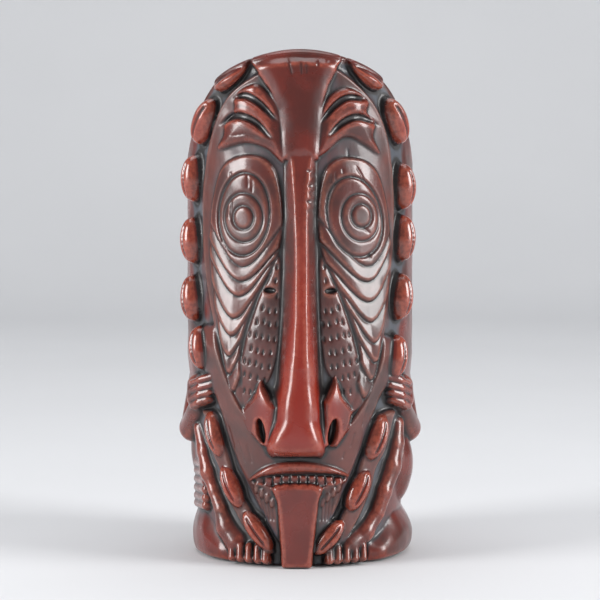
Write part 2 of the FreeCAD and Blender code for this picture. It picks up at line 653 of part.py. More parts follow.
def figure_side(made, name, side, sign):
    """Arm and leg of one side by name, each clear of the mask and of those before it."""
    near = [made[name + "_shell_strap"], made["jaw_panel"], made["tongue"], made["mask_panel"]]
    near += [made[name + "_shell_%d" % number] for number in range(6, 10)]
    limbs = {}
    limbs[name + "_fist"] = fist(side, near)
    near.append(limbs[name + "_fist"])
    limbs[name + "_forearm"] = forearm(side, sign, near)
    near.append(limbs[name + "_forearm"])
    limbs[name + "_upper_arm"] = upper_arm(sign, near)
    near.append(limbs[name + "_upper_arm"])
    limbs[name + "_shin"] = shin(name, near)
    near.append(limbs[name + "_shin"])
    limbs[name + "_haunch"] = haunch(name, sign, near)
    near.append(limbs[name + "_haunch"])
    limbs[name + "_foot"] = foot(name, near)
    near.append(limbs[name + "_foot"])
    if name == "left":
        limbs["left_hip_beads"] = hip_beads(near)
    return limbs


def build():
    """Every piece by name, in an order where each one makes room for those before it."""
    made = {"cup_wall": cup_wall(), "cup_floor": cup_floor()}
    made.update(mask_middle())
    for name, side, sign in (("left", LEFT, -1), ("right", RIGHT, 1)):
        made.update(mask_side(made, name, side, sign))
        made.update(figure_side(made, name, side, sign))
    around = [made[side + part] for side in ("left_", "right_")
              for part in ("upper_arm", "shin", "haunch", "foot", "shell_strap")]
    made["base_ring"] = base_ring(around + [made["left_hip_beads"], made["tongue"]])
    made["figure_back"] = figure_back(around + [made["base_ring"]])
    made["figure_head"] = figure_head(around + [made["figure_back"]])
    return made


os.makedirs("parts", exist_ok=True)
for node, shape in build().items():
    shape.exportStep("parts/%s.step" % node)
    print(node, shape.isValid(), len(shape.Solids), round(shape.Volume, 1))
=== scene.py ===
"""Looks of a carved tiki mug: a glazed cup wrapped in a tall mask, shells and a crouching figure.

The whole outside is one relief: for every direction round the cup and every height there is one
distance out from the wall. Each part of the carving raises or cuts the relief and claims its area.
Each CAD node then becomes a closed patch of that relief, so neighbouring pieces meet exactly.

Millimetres and degrees are used while shaping, and metres in the meshes. +Z is up, the mask looks
along -Y, and the angle round the cup runs from the front towards +X.
"""

import json
import logging
import math
from dataclasses import dataclass
from enum import Enum
from typing import Callable, Sequence

import bpy
import numpy as np
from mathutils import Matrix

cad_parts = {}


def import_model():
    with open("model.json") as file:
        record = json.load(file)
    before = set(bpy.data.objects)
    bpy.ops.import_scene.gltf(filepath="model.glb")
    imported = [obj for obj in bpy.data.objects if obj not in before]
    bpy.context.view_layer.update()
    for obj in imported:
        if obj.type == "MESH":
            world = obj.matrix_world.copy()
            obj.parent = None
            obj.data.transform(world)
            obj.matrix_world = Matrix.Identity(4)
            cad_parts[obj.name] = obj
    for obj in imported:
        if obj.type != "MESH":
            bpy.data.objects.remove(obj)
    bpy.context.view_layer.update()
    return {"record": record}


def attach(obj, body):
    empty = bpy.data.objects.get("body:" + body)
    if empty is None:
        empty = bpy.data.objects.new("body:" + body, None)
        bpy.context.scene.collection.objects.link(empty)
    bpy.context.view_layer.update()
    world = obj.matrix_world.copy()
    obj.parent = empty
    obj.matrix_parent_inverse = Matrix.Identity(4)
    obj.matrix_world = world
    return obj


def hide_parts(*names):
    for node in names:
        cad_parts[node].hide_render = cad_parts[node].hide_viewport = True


Array = np.ndarray
Points = Sequence[tuple[float, float]]
Lines = Sequence[Points]
Rows = Sequence[tuple[float, ...]]
Spot = tuple[float, float, float]
Piece = bpy.types.Object
Finish = bpy.types.Material
Socket = bpy.types.NodeSocket

LOG = logging.getLogger("tiki_mug")
MM = 0.001
SEED = 4
OVAL_POINTS = 40
ROUND_STEPS = 160
UP = np.array([0.0, 0.0, 1.0])


class Face(Enum):
    """The two ways in which a flat outline is laid on the round relief."""

    FRONT = "across and up, as seen from the front"
    UNROLLED = "along the wall and up, as if unrolled"


class Layer(Enum):
    """What is kept for every point of the relief, besides its place."""

    FINE = "fine_relief"
    BROAD = "broad_relief"
    RISE = "height_above_wall"


# ---- shapes in the plane


def ease(value: Array) -> Array:
    """Goes smoothly from 0 to 1.

    Args:
        value: Numbers, of which those below 0 give 0 and those above 1 give 1.

    Returns:
        The eased numbers.
    """
    v = np.clip(value, 0.0, 1.0)
    return v * v * (3 - 2 * v)


def flowing(points: Points, closed: bool = False, steps: int = 6) -> Array:
    """Runs a smooth curve through points.

    Args:
        points: Corners, in order.
        closed: Whether the last joins the first.
        steps: Points per stretch.

    Returns:
        The finer points, two columns.
    """
    p = np.array(points, float)
    if closed:
        p = np.vstack([p[-1], p, p[0], p[1]])
    else:
        p = np.vstack([2 * p[0] - p[1], p, 2 * p[-1] - p[-2]])
    rows = []
    for a, b, c, d in zip(p, p[1:], p[2:], p[3:]):
        t = np.linspace(0, 1, steps, endpoint=False)[:, None]
        rows.append(0.5 * (2 * b + (c - a) * t + (2 * a - 5 * b + 4 * c - d) * t**2
                           + (3 * b - a - 3 * c + d) * t**3))
    if not closed:
        rows.append(p[-2][None])
    return np.vstack(rows)


def oval(x: float, z: float, half_x: float, half_z: float, lean: float = 0.0) -> Array:
    """Draws an oval.

    Args:
        x: Centre across.
        z: Centre up.
        half_x: Half its width.
        half_z: Half its height.
        lean: Degrees by which its top leans towards +X.

    Returns:
        Points round it, two columns.
    """
    t = np.linspace(0, 2 * math.pi, OVAL_POINTS, endpoint=False)
    a, b = half_x * np.cos(t), half_z * np.sin(t)
    c, s = math.cos(math.radians(lean)), math.sin(math.radians(lean))
    return np.stack([x + a * c + b * s, z - a * s + b * c], 1)


def outline_depth(x: Array, z: Array, outline: Array) -> Array:
    """Measures how far points are inside a closed outline.

    Args:
        x: Across.
        z: Up.
        outline: Corners in order, two columns.

    Returns:
        Distances, positive inside and negative outside.
    """
    best = np.full(x.shape, 1e9)
    inside = np.zeros(x.shape, bool)
    for (ax, az), (bx, bz) in zip(outline, np.roll(outline, -1, 0)):
        ex, ez = bx - ax, bz - az
        t = np.clip(((x - ax) * ex + (z - az) * ez) / max(ex * ex + ez * ez, 1e-12), 0, 1)
        best = np.minimum(best, (x - ax - t * ex) ** 2 + (z - az - t * ez) ** 2)
        if az != bz:
            inside ^= ((az > z) != (bz > z)) & (x < ex * (z - az) / ez + ax)
    return np.where(inside, 1, -1) * np.sqrt(best)


def line_gap(x: Array, z: Array, line: Array) -> tuple[Array, Array]:
    """Measures how far points are from an open line.

    Args:
        x: Across.
        z: Up.
        line: Points along the line, two columns.

    Returns:
        Distances, and how far along the line the nearest point is, from 0 to 1.
    """
    best = np.full(x.shape, 1e9)
    along = np.zeros(x.shape)
    for i, ((ax, az), (bx, bz)) in enumerate(zip(line, line[1:])):
        ex, ez = bx - ax, bz - az
        t = np.clip(((x - ax) * ex + (z - az) * ez) / max(ex * ex + ez * ez, 1e-12), 0, 1)
        gap = (x - ax - t * ex) ** 2 + (z - az - t * ez) ** 2
        nearer = gap < best
        best = np.where(nearer, gap, best)
        along = np.where(nearer, (i + t) / (len(line) - 1), along)
    return np.sqrt(best), along


# ---- solids cast on the relief


def round_cone(p: Array, a: Array, b: Array, ra: float, rb: float) -> Array:
    """Measures a limb with ball ends of two radii.

    Args:
        p: Points in space, three columns.
        a: Centre of the first ball.
        b: Centre of the second ball.
        ra: Radius of the first ball.
        rb: Radius of the second ball.

    Returns:
        Distances from the points to the limb, negative inside.
    """
    ab = b - a
    t = np.clip(((p - a) @ ab) / (ab @ ab), 0, 1)
    return np.linalg.norm(p - a - t[:, None] * ab, axis=1) - (ra + t * (rb - ra))


def spindle(p: Array, centre: Array, axis: Array, half: float, radius: float) -> Array:
    """Measures a long rounded bead.

    Args:
        p: Points in space, three columns.
        centre: Middle of the bead.
        axis: Direction of its length.
        half: Half its length.
        radius: Radius at its middle.

    Returns:
        Distances, near enough, from the points to the bead, negative inside.
    """
    q = p - centre
    along = q @ axis
    across2 = np.maximum((q * q).sum(1) - along**2, 0)
    k = np.sqrt(across2 / radius**2 + along**2 / half**2)
    g = np.sqrt(across2 / radius**4 + along**2 / half**4) + 1e-9
    return k * (k - 1) / g


def melt(a: Array, b: Array, width: float) -> Array:
    """Joins the distances to two solids, with a fillet of some width in mm."""
    h = np.maximum(width - np.abs(a - b), 0) / width
    return np.minimum(a, b) - h * h * width * 0.25


@dataclass(frozen=True)
class Cup:
    """The plain cup under the carving, in millimetres.

    Args:
        foot_r: Outside radius at the foot.
        body_r: Outside radius of the body.
        waist_z: Height up to which the foot radius is kept.
        belly_z: Height from which the body radius is kept.
        wall: Thickness of the wall.
        floor_z: Height of the inside floor.
        cove: Radius between the floor and the wall.
        crest_z: Height that the sloping mouth would reach at the front.
        shoulder_z: Height of the sloping mouth at the sides.
        back_z: Height of the level rim at the back.
        dip_r: Radius of the bend between the slope and the level rim.
        lip: Rounding of the lip.
        fullness: How far the slope is arched up between crest and shoulders.
        arch_end: Depth at which the arch has run out.
    """

    foot_r: float = 38.5
    body_r: float = 42.5
    waist_z: float = 22.0
    belly_z: float = 75.0
    wall: float = 4.5
    floor_z: float = 8.0
    cove: float = 6.0
    crest_z: float = 192.5
    shoulder_z: float = 146.0
    back_z: float = 142.0
    dip_r: float = 30.0
    lip: float = 1.8
    fullness: float = 3.0
    arch_end: float = -9.0

    def radius(self, z: Array) -> Array:
        """Outside radius of the wall at heights z."""
        share = np.clip((z - self.waist_z) / (self.belly_z - self.waist_z), 0, 1)
        return self.foot_r + share * (self.body_r - self.foot_r)

    def unrolled(self, angle: float) -> float:
        """Length along the body's wall of an angle in degrees."""
        return angle * (self.body_r * math.pi / 180)

    def mouth(self, y: Array) -> tuple[Array, Array]:
        """Shapes the sloping mouth: straight at the front, bent into a level rim, and arched up between.

        Args:
            y: Depths, in mm.

        Returns:
            Heights of the mouth's face, and its slopes towards -Y.
        """
        slope = (self.crest_z - self.shoulder_z) / self.body_r
        angle = math.atan(slope)
        run = self.dip_r * math.tan(angle / 2)
        meet = (self.shoulder_z - self.back_z) / slope
        start, end = meet - run * math.cos(angle), meet + run
        bend = self.dip_r - np.sqrt(np.maximum(self.dip_r**2 - (np.clip(y, start, end) - end) ** 2, 0))
        straight = np.maximum(start - y, 0)
        height = self.back_z + bend + straight * slope
        tilt = np.where(y < start, slope, np.maximum(end - y, 0) / np.sqrt(
            np.maximum(self.dip_r**2 - np.maximum(end - y, 0) ** 2, 1)))
        span = self.arch_end + self.body_r
        along = math.pi * np.clip((y + self.body_r) / span, 0, 1)
        height = height + self.fullness * np.sin(along) ** 2
        return height, np.minimum(tilt, slope) - self.fullness * math.pi / span * np.sin(2 * along)

    def lip_profile(self, angle: Array, steps: int = 7) -> list[tuple[Array, Array]]:
        """Rounded lip from the outside to the inside.

        Args:
            angle: Angles round the cup, in radians.
            steps: Points per rounding.

        Returns:
            A list of radius and height arrays, one pair per step.
        """
        pairs = []
        outer, inner = self.body_r - self.lip, self.body_r - self.wall + self.lip
        facing = np.cos(angle)
        for centre_r, first, last in ((outer, 0.0, None), (inner, None, math.pi)):
            height, tilt = self.mouth(-centre_r * facing)
            centre_z = height - self.lip * np.sqrt(1 + tilt**2)
            top = math.pi / 2 + np.arctan(tilt * facing)
            begin = top if first is None else np.full_like(top, first)
            finish = top if last is None else np.full_like(top, last)
            for share in np.linspace(0, 1, steps):
                turn = begin + share * (finish - begin)
                pairs.append((centre_r + self.lip * np.cos(turn), centre_z + self.lip * np.sin(turn)))
        return pairs


class Relief:
    """The carved outside of the cup, and which piece each part of it belongs to."""

    # Seen from the front, outlines are laid on a surface this far off the wall.
    SIGHT_H = 3.0
    # Half the angle, in degrees, over which the points lie close together.
    FRONT_SIDE = 92
    # A solid is met within TOUCH, and taken as met within MET. STRIDE keeps each step short of it.
    TOUCH, MET, STRIDE, STRIDES = 0.02, 0.15, 0.9, 48
    # How far behind the wall a solid is still looked for.
    BEHIND = 3.0
    # The glaze rounds the carving, and its own slow waves are built from this many ripples.
    GLAZE_SOFTNESS, RIPPLES, RIPPLE_H = 0.65, 14, 0.018
    # Over the last LIP_FADE of height the carving is held down to LIP_STEP, and BARE_LIP is left to the wall.
    LIP_STEP, LIP_FADE, BARE_LIP = 2.2, 4.0, 0.35
    # Rounding of the edge on which the mug stands: its height and how far it draws in.
    FOOT_RISE, FOOT_DRAW = 1.3, 1.0
    # Everything above LEVEL_H counts as level ground for the broad measure.
    LEVEL_H = 3.2
    # Cells over which the surroundings are averaged, and the height over which the measures start at the lip.
    FINE_CELLS, BROAD_CELLS, LIP_CLEAR = 3, 11, 2.5

    def __init__(self, cup: Cup, fine: float = 0.3, coarse: float = 0.55) -> None:
        """Lays out the relief.

        Args:
            cup: The plain cup.
            fine: Spacing of the points over the front, in mm.
            coarse: Spacing at the back.
        """
        self.cup = cup
        side = math.radians(self.FRONT_SIDE)
        front = np.linspace(-side, side, int(2 * side * cup.body_r / fine))
        rest = 2 * (math.pi - side)
        back = np.linspace(side, side + rest, int(rest * cup.body_r / coarse) + 1)[1:-1]
        self.turn = np.concatenate([front, back])
        self.top = cup.lip_profile(self.turn)[0][1]
        self.rows = int(cup.crest_z / fine)
        share = np.linspace(0, 1, self.rows)[:, None]
        self.z = share * self.top[None, :]
        self.angle = np.broadcast_to(self.turn[None, :], self.z.shape)
        self.wall = cup.radius(self.z)
        self.h = np.zeros_like(self.z)
        self.owner = np.zeros(self.z.shape, np.int16)
        self.names = ["cup_wall"]
        ahead = np.cos(self.angle) > 0
        self.x = np.where(ahead, (self.wall + self.SIGHT_H) * np.sin(self.angle), np.nan)
        around = (self.angle + math.pi) % (2 * math.pi) - math.pi
        self.u = around * cup.body_r

    # ---- choosing and claiming points

    def box(self, low: Sequence[float], high: Sequence[float], face: Face = Face.FRONT) -> Array:
        """Flat numbers of the points inside a box, given by two corners on one of the layouts."""
        across = self.x if face is Face.FRONT else self.u
        return np.flatnonzero((across > low[0]) & (across < high[0]) & (self.z > low[1]) & (self.z < high[1]))

    def near(self, outline: Array, margin: float, face: Face = Face.FRONT) -> tuple[Array, Array, Array]:
        """Picks the points round an outline.

        Args:
            outline: Its corners, two columns.
            margin: How far outside it to look, in mm.
            face: Layout on which it is drawn.

        Returns:
            The points' flat numbers, their places across and their heights.
        """
        at = self.box(outline.min(0) - margin, outline.max(0) + margin, face)
        across = self.x if face is Face.FRONT else self.u
        return at, across.flat[at], self.z.flat[at]

    def claim(self, at: Array, node: str) -> None:
        """Gives points to a piece.

        Args:
            at: Flat numbers of the points.
            node: Name of the piece.
        """
        if node not in self.names:
            self.names.append(node)
        self.owner.flat[at] = self.names.index(node)

    # ---- raising and cutting

    def raise_to(self, outline: Array, height: float, shoulder: float, node: str = "",
                 dome: float = 0.0, dome_width: float = 8.0) -> None:
        """Raises the area inside an outline to a height.

        Args:
            outline: Corners of a closed outline, seen from the front.
            height: Height above the wall at the edge's shoulder.
            shoulder: Width over which the edge rounds up to it.
            node: Piece that gets the area, if any.
            dome: Extra height well inside.
            dome_width: How far inside the dome is full.
        """
        at, x, z = self.near(outline, 0.5)
        depth = outline_depth(x, z, outline)
        inside = depth > 0
        at, depth = at[inside], depth[inside]
        t = np.clip(depth / shoulder, 0, 1)
        rise = np.sqrt(np.maximum(1 - (1 - t) ** 2, 0))
        target = height + dome * np.sin(0.5 * math.pi * np.clip(depth / dome_width, 0, 1))
        h = self.h.flat[at]
        self.h.flat[at] = np.where(target > h, h + (target - h) * rise, h)
        if node:
            self.claim(at, node)

    def sink_to(self, outline: Array, height: float, shoulder: float) -> None:
        """Lowers the area inside an outline to a height.

        Args:
            outline: Corners of a closed outline, seen from the front.
            height: Height above the wall that nothing inside passes.
            shoulder: Width over which the edge slopes down to it.
        """
        at, x, z = self.near(outline, 0.5)
        depth = outline_depth(x, z, outline)
        share = ease(depth / shoulder)
        h = self.h.flat[at]
        self.h.flat[at] = np.where(depth > 0, h + (np.minimum(h, height) - h) * share, h)

    def cut_line(self, line: Array, width: float, depth: float, fade: float = 0.12,
                 face: Face = Face.FRONT) -> None:
        """Cuts a V groove along a line, fading out at both ends.

        Args:
            line: Points along the groove.
            width: Half width at the surface, in mm.
            depth: Depth in the middle; below 0 it raises a ridge instead.
            fade: Share of the length over which each end fades.
            face: How the line is laid on the relief.
        """
        at, x, z = self.near(line, width, face)
        gap, along = line_gap(x, z, line)
        ends = np.ones_like(along) if fade <= 0 else ease(along / fade) * ease((1 - along) / fade)
        cut = depth * ends * np.clip(1 - gap / width, 0, 1)
        self.h.flat[at] -= cut

    def cut_almond(self, line: Array, width: float, depth: float) -> None:
        """Cuts a groove along a line, wide and flat in the middle and pointed at both ends.

        Args:
            line: Points along the groove, seen from the front.
            width: Half width in the middle, in mm.
            depth: Depth in the middle.
        """
        at, x, z = self.near(line, width)
        gap, along = line_gap(x, z, line)
        half = width * np.sqrt(np.clip(np.sin(math.pi * along), 0, 1)) + 0.05
        self.h.flat[at] -= depth * ease(1.5 * (1 - gap / half)) * ease(4 * np.minimum(along, 1 - along))

    def cut_oval(self, x0: float, z0: float, half_x: float, half_z: float, depth: float,
                 lean: float = 0.0) -> None:
        """Presses a small oval dimple into the relief.

        Args:
            x0: Centre across.
            z0: Centre up.
            half_x: Half its width.
            half_z: Half its height.
            depth: Depth of its flat bottom.
            lean: Degrees by which its top leans towards +X.
        """
        outline = oval(x0, z0, half_x, half_z, lean)
        at, x, z = self.near(outline, 0.1)
        inside = np.clip(outline_depth(x, z, outline) / (0.6 * min(half_x, half_z)), 0, 1)
        self.h.flat[at] -= depth * ease(inside)

    def cast(self, solid: Callable[[Array], Array], around: tuple[float, float], up: tuple[float, float],
             reach: float, node: str = "", soften: float = 0.0) -> Array:
        """Lays a solid on the relief by walking in from outside until it is met.

        Args:
            solid: Distance from points in space to the solid, in mm.
            around: Middle angle and half width of where it may lie, in degrees.
            up: Lowest and highest height.
            reach: How far out to start from.
            node: Piece that gets the area, if any.
            soften: Width of the fillet where it meets what is there already.

        Returns:
            Flat numbers of the points that it covers.
        """
        off = (np.degrees(self.angle) - around[0] + 180) % 360 - 180
        at = np.flatnonzero((np.abs(off) < around[1]) & (self.z > up[0]) & (self.z < up[1]))
        angle, z, wall = self.angle.flat[at], self.z.flat[at], self.wall.flat[at]
        out = np.full(at.shape, reach, float)
        ray = np.stack([np.sin(angle), -np.cos(angle)], 1)
        gap = np.zeros_like(out)
        for _ in range(self.STRIDES):
            gap = solid(np.column_stack([ray * out[:, None], z]))
            out -= np.maximum(gap, 0) * self.STRIDE
            if np.all((gap < self.TOUCH) | (out < wall - self.BEHIND)):
                break
        hit = (gap < self.MET) & (out > wall - self.BEHIND)
        height = np.where(hit, out - wall, -9.0)
        h = self.h.flat[at]
        joined = -melt(-height, -h, soften) if soften else np.maximum(height, h)
        over = hit & (height > h - 0.05)
        self.h.flat[at] = np.where(hit, joined, h)
        if node:
            self.claim(at[over], node)
        return at[over]

    # ---- finishing

    def blurred(self, field: Array, cells: int) -> Array:
        """Averages a field over some cells in both directions, three times.

        Args:
            field: Numbers on the relief's points.
            cells: How many cells to reach to each side.

        Returns:
            The smoother field.
        """
        for _ in range(3):
            wide = np.concatenate([field[:, -cells - 1:], field, field[:, :cells]], 1)
            total = np.cumsum(wide, 1)
            field = (total[:, 2 * cells + 1:] - total[:, : -2 * cells - 1]) / (2 * cells + 1)
            below, above = np.repeat(field[:1], cells + 1, 0), np.repeat(field[-1:], cells, 0)
            tall = np.concatenate([below, field, above])
            total = np.cumsum(tall, 0)
            field = (total[2 * cells + 1:] - total[: -2 * cells - 1]) / (2 * cells + 1)
        return field

    def settle(self) -> None:
        """Softens the glaze, fades the carving out at the lip and rounds the foot's edge."""
        rng = np.random.default_rng(SEED)
        self.h = (1 - self.GLAZE_SOFTNESS) * self.h + self.GLAZE_SOFTNESS * self.blurred(self.h, 1)
        wave = np.zeros_like(self.h)
        for _ in range(self.RIPPLES):
            k_turn = rng.integers(4, 34)
            k_up = rng.uniform(0.05, 0.5)
            wave += np.sin(k_turn * self.angle + k_up * self.z + rng.uniform(0, 6.3))
        self.h += self.RIPPLE_H * wave
        below_lip = self.top[None, :] - self.z
        held_down = np.minimum(self.h, self.LIP_STEP * np.tanh(self.h / self.LIP_STEP))
        self.h += (held_down - self.h) * (1 - ease(below_lip / self.LIP_FADE))
        self.owner[below_lip < self.BARE_LIP] = 0
        foot = np.clip(1 - self.z / self.FOOT_RISE, 0, 1)
        self.h -= self.FOOT_DRAW * (1 - np.sqrt(np.maximum(1 - foot**2, 0)))

    def measure(self) -> dict[str, Array]:
        """Measures how far the relief stands proud of its surroundings, and off the wall.

        Returns:
            One field for every layer, by name.
        """
        low = self.LEVEL_H * np.tanh(self.h / self.LEVEL_H)
        clear = ease((self.top[None, :] - self.z) / self.LIP_CLEAR)
        return {
            Layer.FINE.value: clear * (self.h - self.blurred(self.h, self.FINE_CELLS)),
            Layer.BROAD.value: clear * (low - self.blurred(low, self.BROAD_CELLS)),
            Layer.RISE.value: self.h,
        }


class PatchMaker:
    """Turns the finished relief into one closed mesh per piece."""

    # Depth of the hidden back of every patch, behind the wall's outside.
    BACK = -1.4
    # Rounds in which borders are smoothed, the share of its place that a point keeps in each, and the
    # furthest that it may move, in cells.
    ROUNDS, HOLD, FURTHEST = 5, 0.4, 0.45

    def __init__(self, relief: Relief) -> None:
        """Smooths the borders between the pieces and places every point.

        Args:
            relief: The finished relief.
        """
        self.relief = relief
        self.label = self.clean(relief.owner[:-1].copy())
        rows, cols = relief.z.shape
        shift = self.border_shift()
        i = np.arange(cols)[None, :] + shift[..., 0]
        j = np.arange(rows)[:, None] + shift[..., 1]
        turn = np.append(relief.turn, relief.turn[0] + 2 * math.pi)
        wide = np.concatenate([turn[:-1] - 2 * math.pi, turn[:-1], turn[:-1] + 2 * math.pi])
        angle = np.interp(i, np.arange(-cols, 2 * cols), wide)
        fields = {"h": relief.h, **relief.measure()}
        fields = {name: self.sample(f, i, j) for name, f in fields.items()}
        z = self.sample(relief.z, i, j)
        radius = relief.cup.radius(z)
        self.outer = self.place(angle, radius + fields.pop("h"), z)
        grid = self.outer.reshape(rows, cols, 3)
        across = np.roll(grid, -1, 1) - np.roll(grid, 1, 1)
        up = np.gradient(grid, axis=0)
        facing = np.cross(across, up).reshape(-1, 3)
        self.facing = facing / np.maximum(np.linalg.norm(facing, axis=1, keepdims=True), 1e-12)
        self.inner = self.place(angle, radius + self.BACK, z)
        self.fields = {name: f.ravel() for name, f in fields.items()}
        self.cols = cols

    @staticmethod
    def place(angle: Array, radius: Array, z: Array) -> Array:
        """Points in metres, three columns, from angles in radians, radii and heights in mm."""
        return MM * np.stack([radius * np.sin(angle), -radius * np.cos(angle), z], -1).reshape(-1, 3)

    @staticmethod
    def clean(label: Array) -> Array:
        """Gives single stray cells to their neighbours.

        Args:
            label: Piece number of every cell.

        Returns:
            The cleaned numbers.
        """
        for _ in range(3):
            left, right = np.roll(label, 1, 1), np.roll(label, -1, 1)
            up = np.vstack([label[1:], label[-1:]])
            down = np.vstack([label[:1], label[:-1]])
            alone = (left != label).astype(int) + (right != label) + (up != label) + (down != label) >= 3
            label = np.where(alone, np.where(left == right, left, up), label)
        return label

    def border_shift(self) -> Array:
        """Finds how far each point moves, so that the borders between pieces run smoothly.

        Returns:
            Steps across and up for every point, in cells.
        """
        label = self.label
        rows, cols = self.relief.z.shape
        level = np.zeros((rows, cols), bool)
        level[1:-1] = label[1:] != label[:-1]
        upright = np.zeros((rows, cols), bool)
        upright[:-1] = label != np.roll(label, 1, 1)
        to_right, to_left = level, np.roll(level, 1, 1)
        to_up = upright
        to_down = np.vstack([np.zeros((1, cols), bool), upright[:-1]])
        count = to_right.astype(int) + to_left + to_up + to_down
        movable = count == 2
        movable[0] = movable[-1] = False
        shift = np.zeros((rows, cols, 2))
        for _ in range(self.ROUNDS):
            total = np.zeros_like(shift)
            for edge, axis, step in ((to_right, 1, -1), (to_left, 1, 1), (to_up, 0, -1), (to_down, 0, 1)):
                other = np.roll(shift, step, axis)
                other[..., 1 - axis] -= step
                total += edge[..., None] * other
            shift = np.where(movable[..., None], self.HOLD * shift + 0.5 * (1 - self.HOLD) * total, shift)
        return np.clip(shift, -self.FURTHEST, self.FURTHEST)

    def sample(self, field: Array, i: Array, j: Array) -> Array:
        """Reads a field between its points.

        Args:
            field: Numbers on the relief's points.
            i: Columns, with fractions.
            j: Rows, with fractions.

        Returns:
            The numbers found there.
        """
        rows, cols = field.shape
        i0, j0 = np.floor(i).astype(int), np.clip(np.floor(j).astype(int), 0, rows - 2)
        di, dj = i - i0, j - j0
        a, b = i0 % cols, (i0 + 1) % cols
        low = field[j0, a] * (1 - di) + field[j0, b] * di
        high = field[j0 + 1, a] * (1 - di) + field[j0 + 1, b] * di
        return low * (1 - dj) + high * dj

    def patch(self, node: str) -> tuple[Array, Array, Array, Array]:
        """Closed patch of the relief that belongs to a piece.

        Args:
            node: Name of the piece.

        Returns:
            Corners, quads, which quads are shaded smooth, and the relief points used.
        """
        number = self.relief.names.index(node)
        j, i = np.nonzero(self.label == number)
        right = (i + 1) % self.cols
        quads = np.stack([j * self.cols + i, j * self.cols + right, (j + 1) * self.cols + right,
                          (j + 1) * self.cols + i], 1)
        used, flat = np.unique(quads, return_inverse=True)
        quads = flat.reshape(-1, 4)
        count = len(used)
        start, end = quads.ravel(), np.roll(quads, -1, 1).ravel()
        open_edge = ~np.isin(start * count + end, end * count + start)
        start, end = start[open_edge], end[open_edge]
        sides = np.stack([end, start, start + count, end + count], 1)
        faces = np.vstack([quads, quads[:, ::-1] + count, sides])
        smooth = np.zeros(len(faces), bool)
        smooth[: len(quads)] = True
        return np.vstack([self.outer[used], self.inner[used]]), faces, smooth, used


def placed(name: str, mesh: bpy.types.Mesh) -> Piece:
    """Puts a mesh in the scene under a name.

    Args:
        name: Name of the object.
        mesh: The mesh.

    Returns:
        The object.
    """
    obj = bpy.data.objects.new(name, mesh)
    bpy.context.collection.objects.link(obj)
    return obj


def new_mesh(name: str, corners: Array, faces: Array, smooth: Array, facing: Array,
             layers: dict[str, Array]) -> Piece:
    """Makes a mesh object from arrays.

    Args:
        name: Name of the object.
        corners: Points in metres.
        faces: Quads as corner numbers.
        smooth: Which quads are shaded smooth.
        facing: Direction that each corner faces, or zeros where the faces decide.
        layers: Numbers per corner, by name.

    Returns:
        The object, linked to the scene.
    """
    mesh = bpy.data.meshes.new(name)
    mesh.vertices.add(len(corners))
    mesh.vertices.foreach_set("co", np.ascontiguousarray(corners, np.float32).ravel())
    mesh.loops.add(faces.size)
    mesh.loops.foreach_set("vertex_index", np.ascontiguousarray(faces, np.int32).ravel())
    mesh.polygons.add(len(faces))
    mesh.polygons.foreach_set("loop_start", np.arange(0, faces.size, 4, dtype=np.int32))
    mesh.polygons.foreach_set("use_smooth", np.ascontiguousarray(smooth))
    mesh.update(calc_edges=True)
    for layer, values in layers.items():
        data = mesh.attributes.new(layer, "FLOAT", "POINT").data
        data.foreach_set("value", np.ascontiguousarray(values, np.float32))
    mesh.normals_split_custom_set_from_vertices(facing.tolist())
    return placed(name, mesh)


def plain_mesh(name: str, corners: Sequence[Spot], faces: Sequence[Sequence[int]]) -> Piece:
    """Makes a smoothly shaded object from lists.

    Args:
        name: Name of the object.
        corners: Points in metres.
        faces: Corner numbers of every face.

    Returns:
        The object, linked to the scene.
    """
    mesh = bpy.data.meshes.new(name)
    mesh.from_pydata(corners, [], faces)
    mesh.update()
    mesh.polygons.foreach_set("use_smooth", np.ones(len(faces), bool))
    return placed(name, mesh)


def revolved(name: str, profile: Points, segments: int = ROUND_STEPS) -> Piece:
    """Makes a closed round body from half its section.

    Args:
        name: Name of the object.
        profile: Radius and height in mm, from the axis round to the axis again.
        segments: Steps round the axis.

    Returns:
        The object.
    """
    turn = np.linspace(0, 2 * math.pi, segments, endpoint=False)
    corners, rings = [], []
    for radius, z in profile:
        count = 1 if radius < 1e-6 else segments
        rings.append((len(corners), count))
        corners += [(MM * radius * math.sin(t), -MM * radius * math.cos(t), MM * z) for t in turn[:count]]
    faces = []
    for (low, n_low), (high, n_high) in zip(rings, rings[1:]):
        for i in range(segments):
            k = (i + 1) % segments
            if n_low == 1:
                faces.append((low, high + k, high + i))
            elif n_high == 1:
                faces.append((low + i, low + k, high))
            else:
                faces.append((low + i, low + k, high + k, high + i))
    return plain_mesh(name, corners, faces)


# ---- the carving, part by part


def turned(angle: float, radius: float, z: float) -> Array:
    """Point at some degrees from the front towards +X, at a radius and a height in mm."""
    a = math.radians(angle)
    return np.array([radius * math.sin(a), -radius * math.cos(a), z])


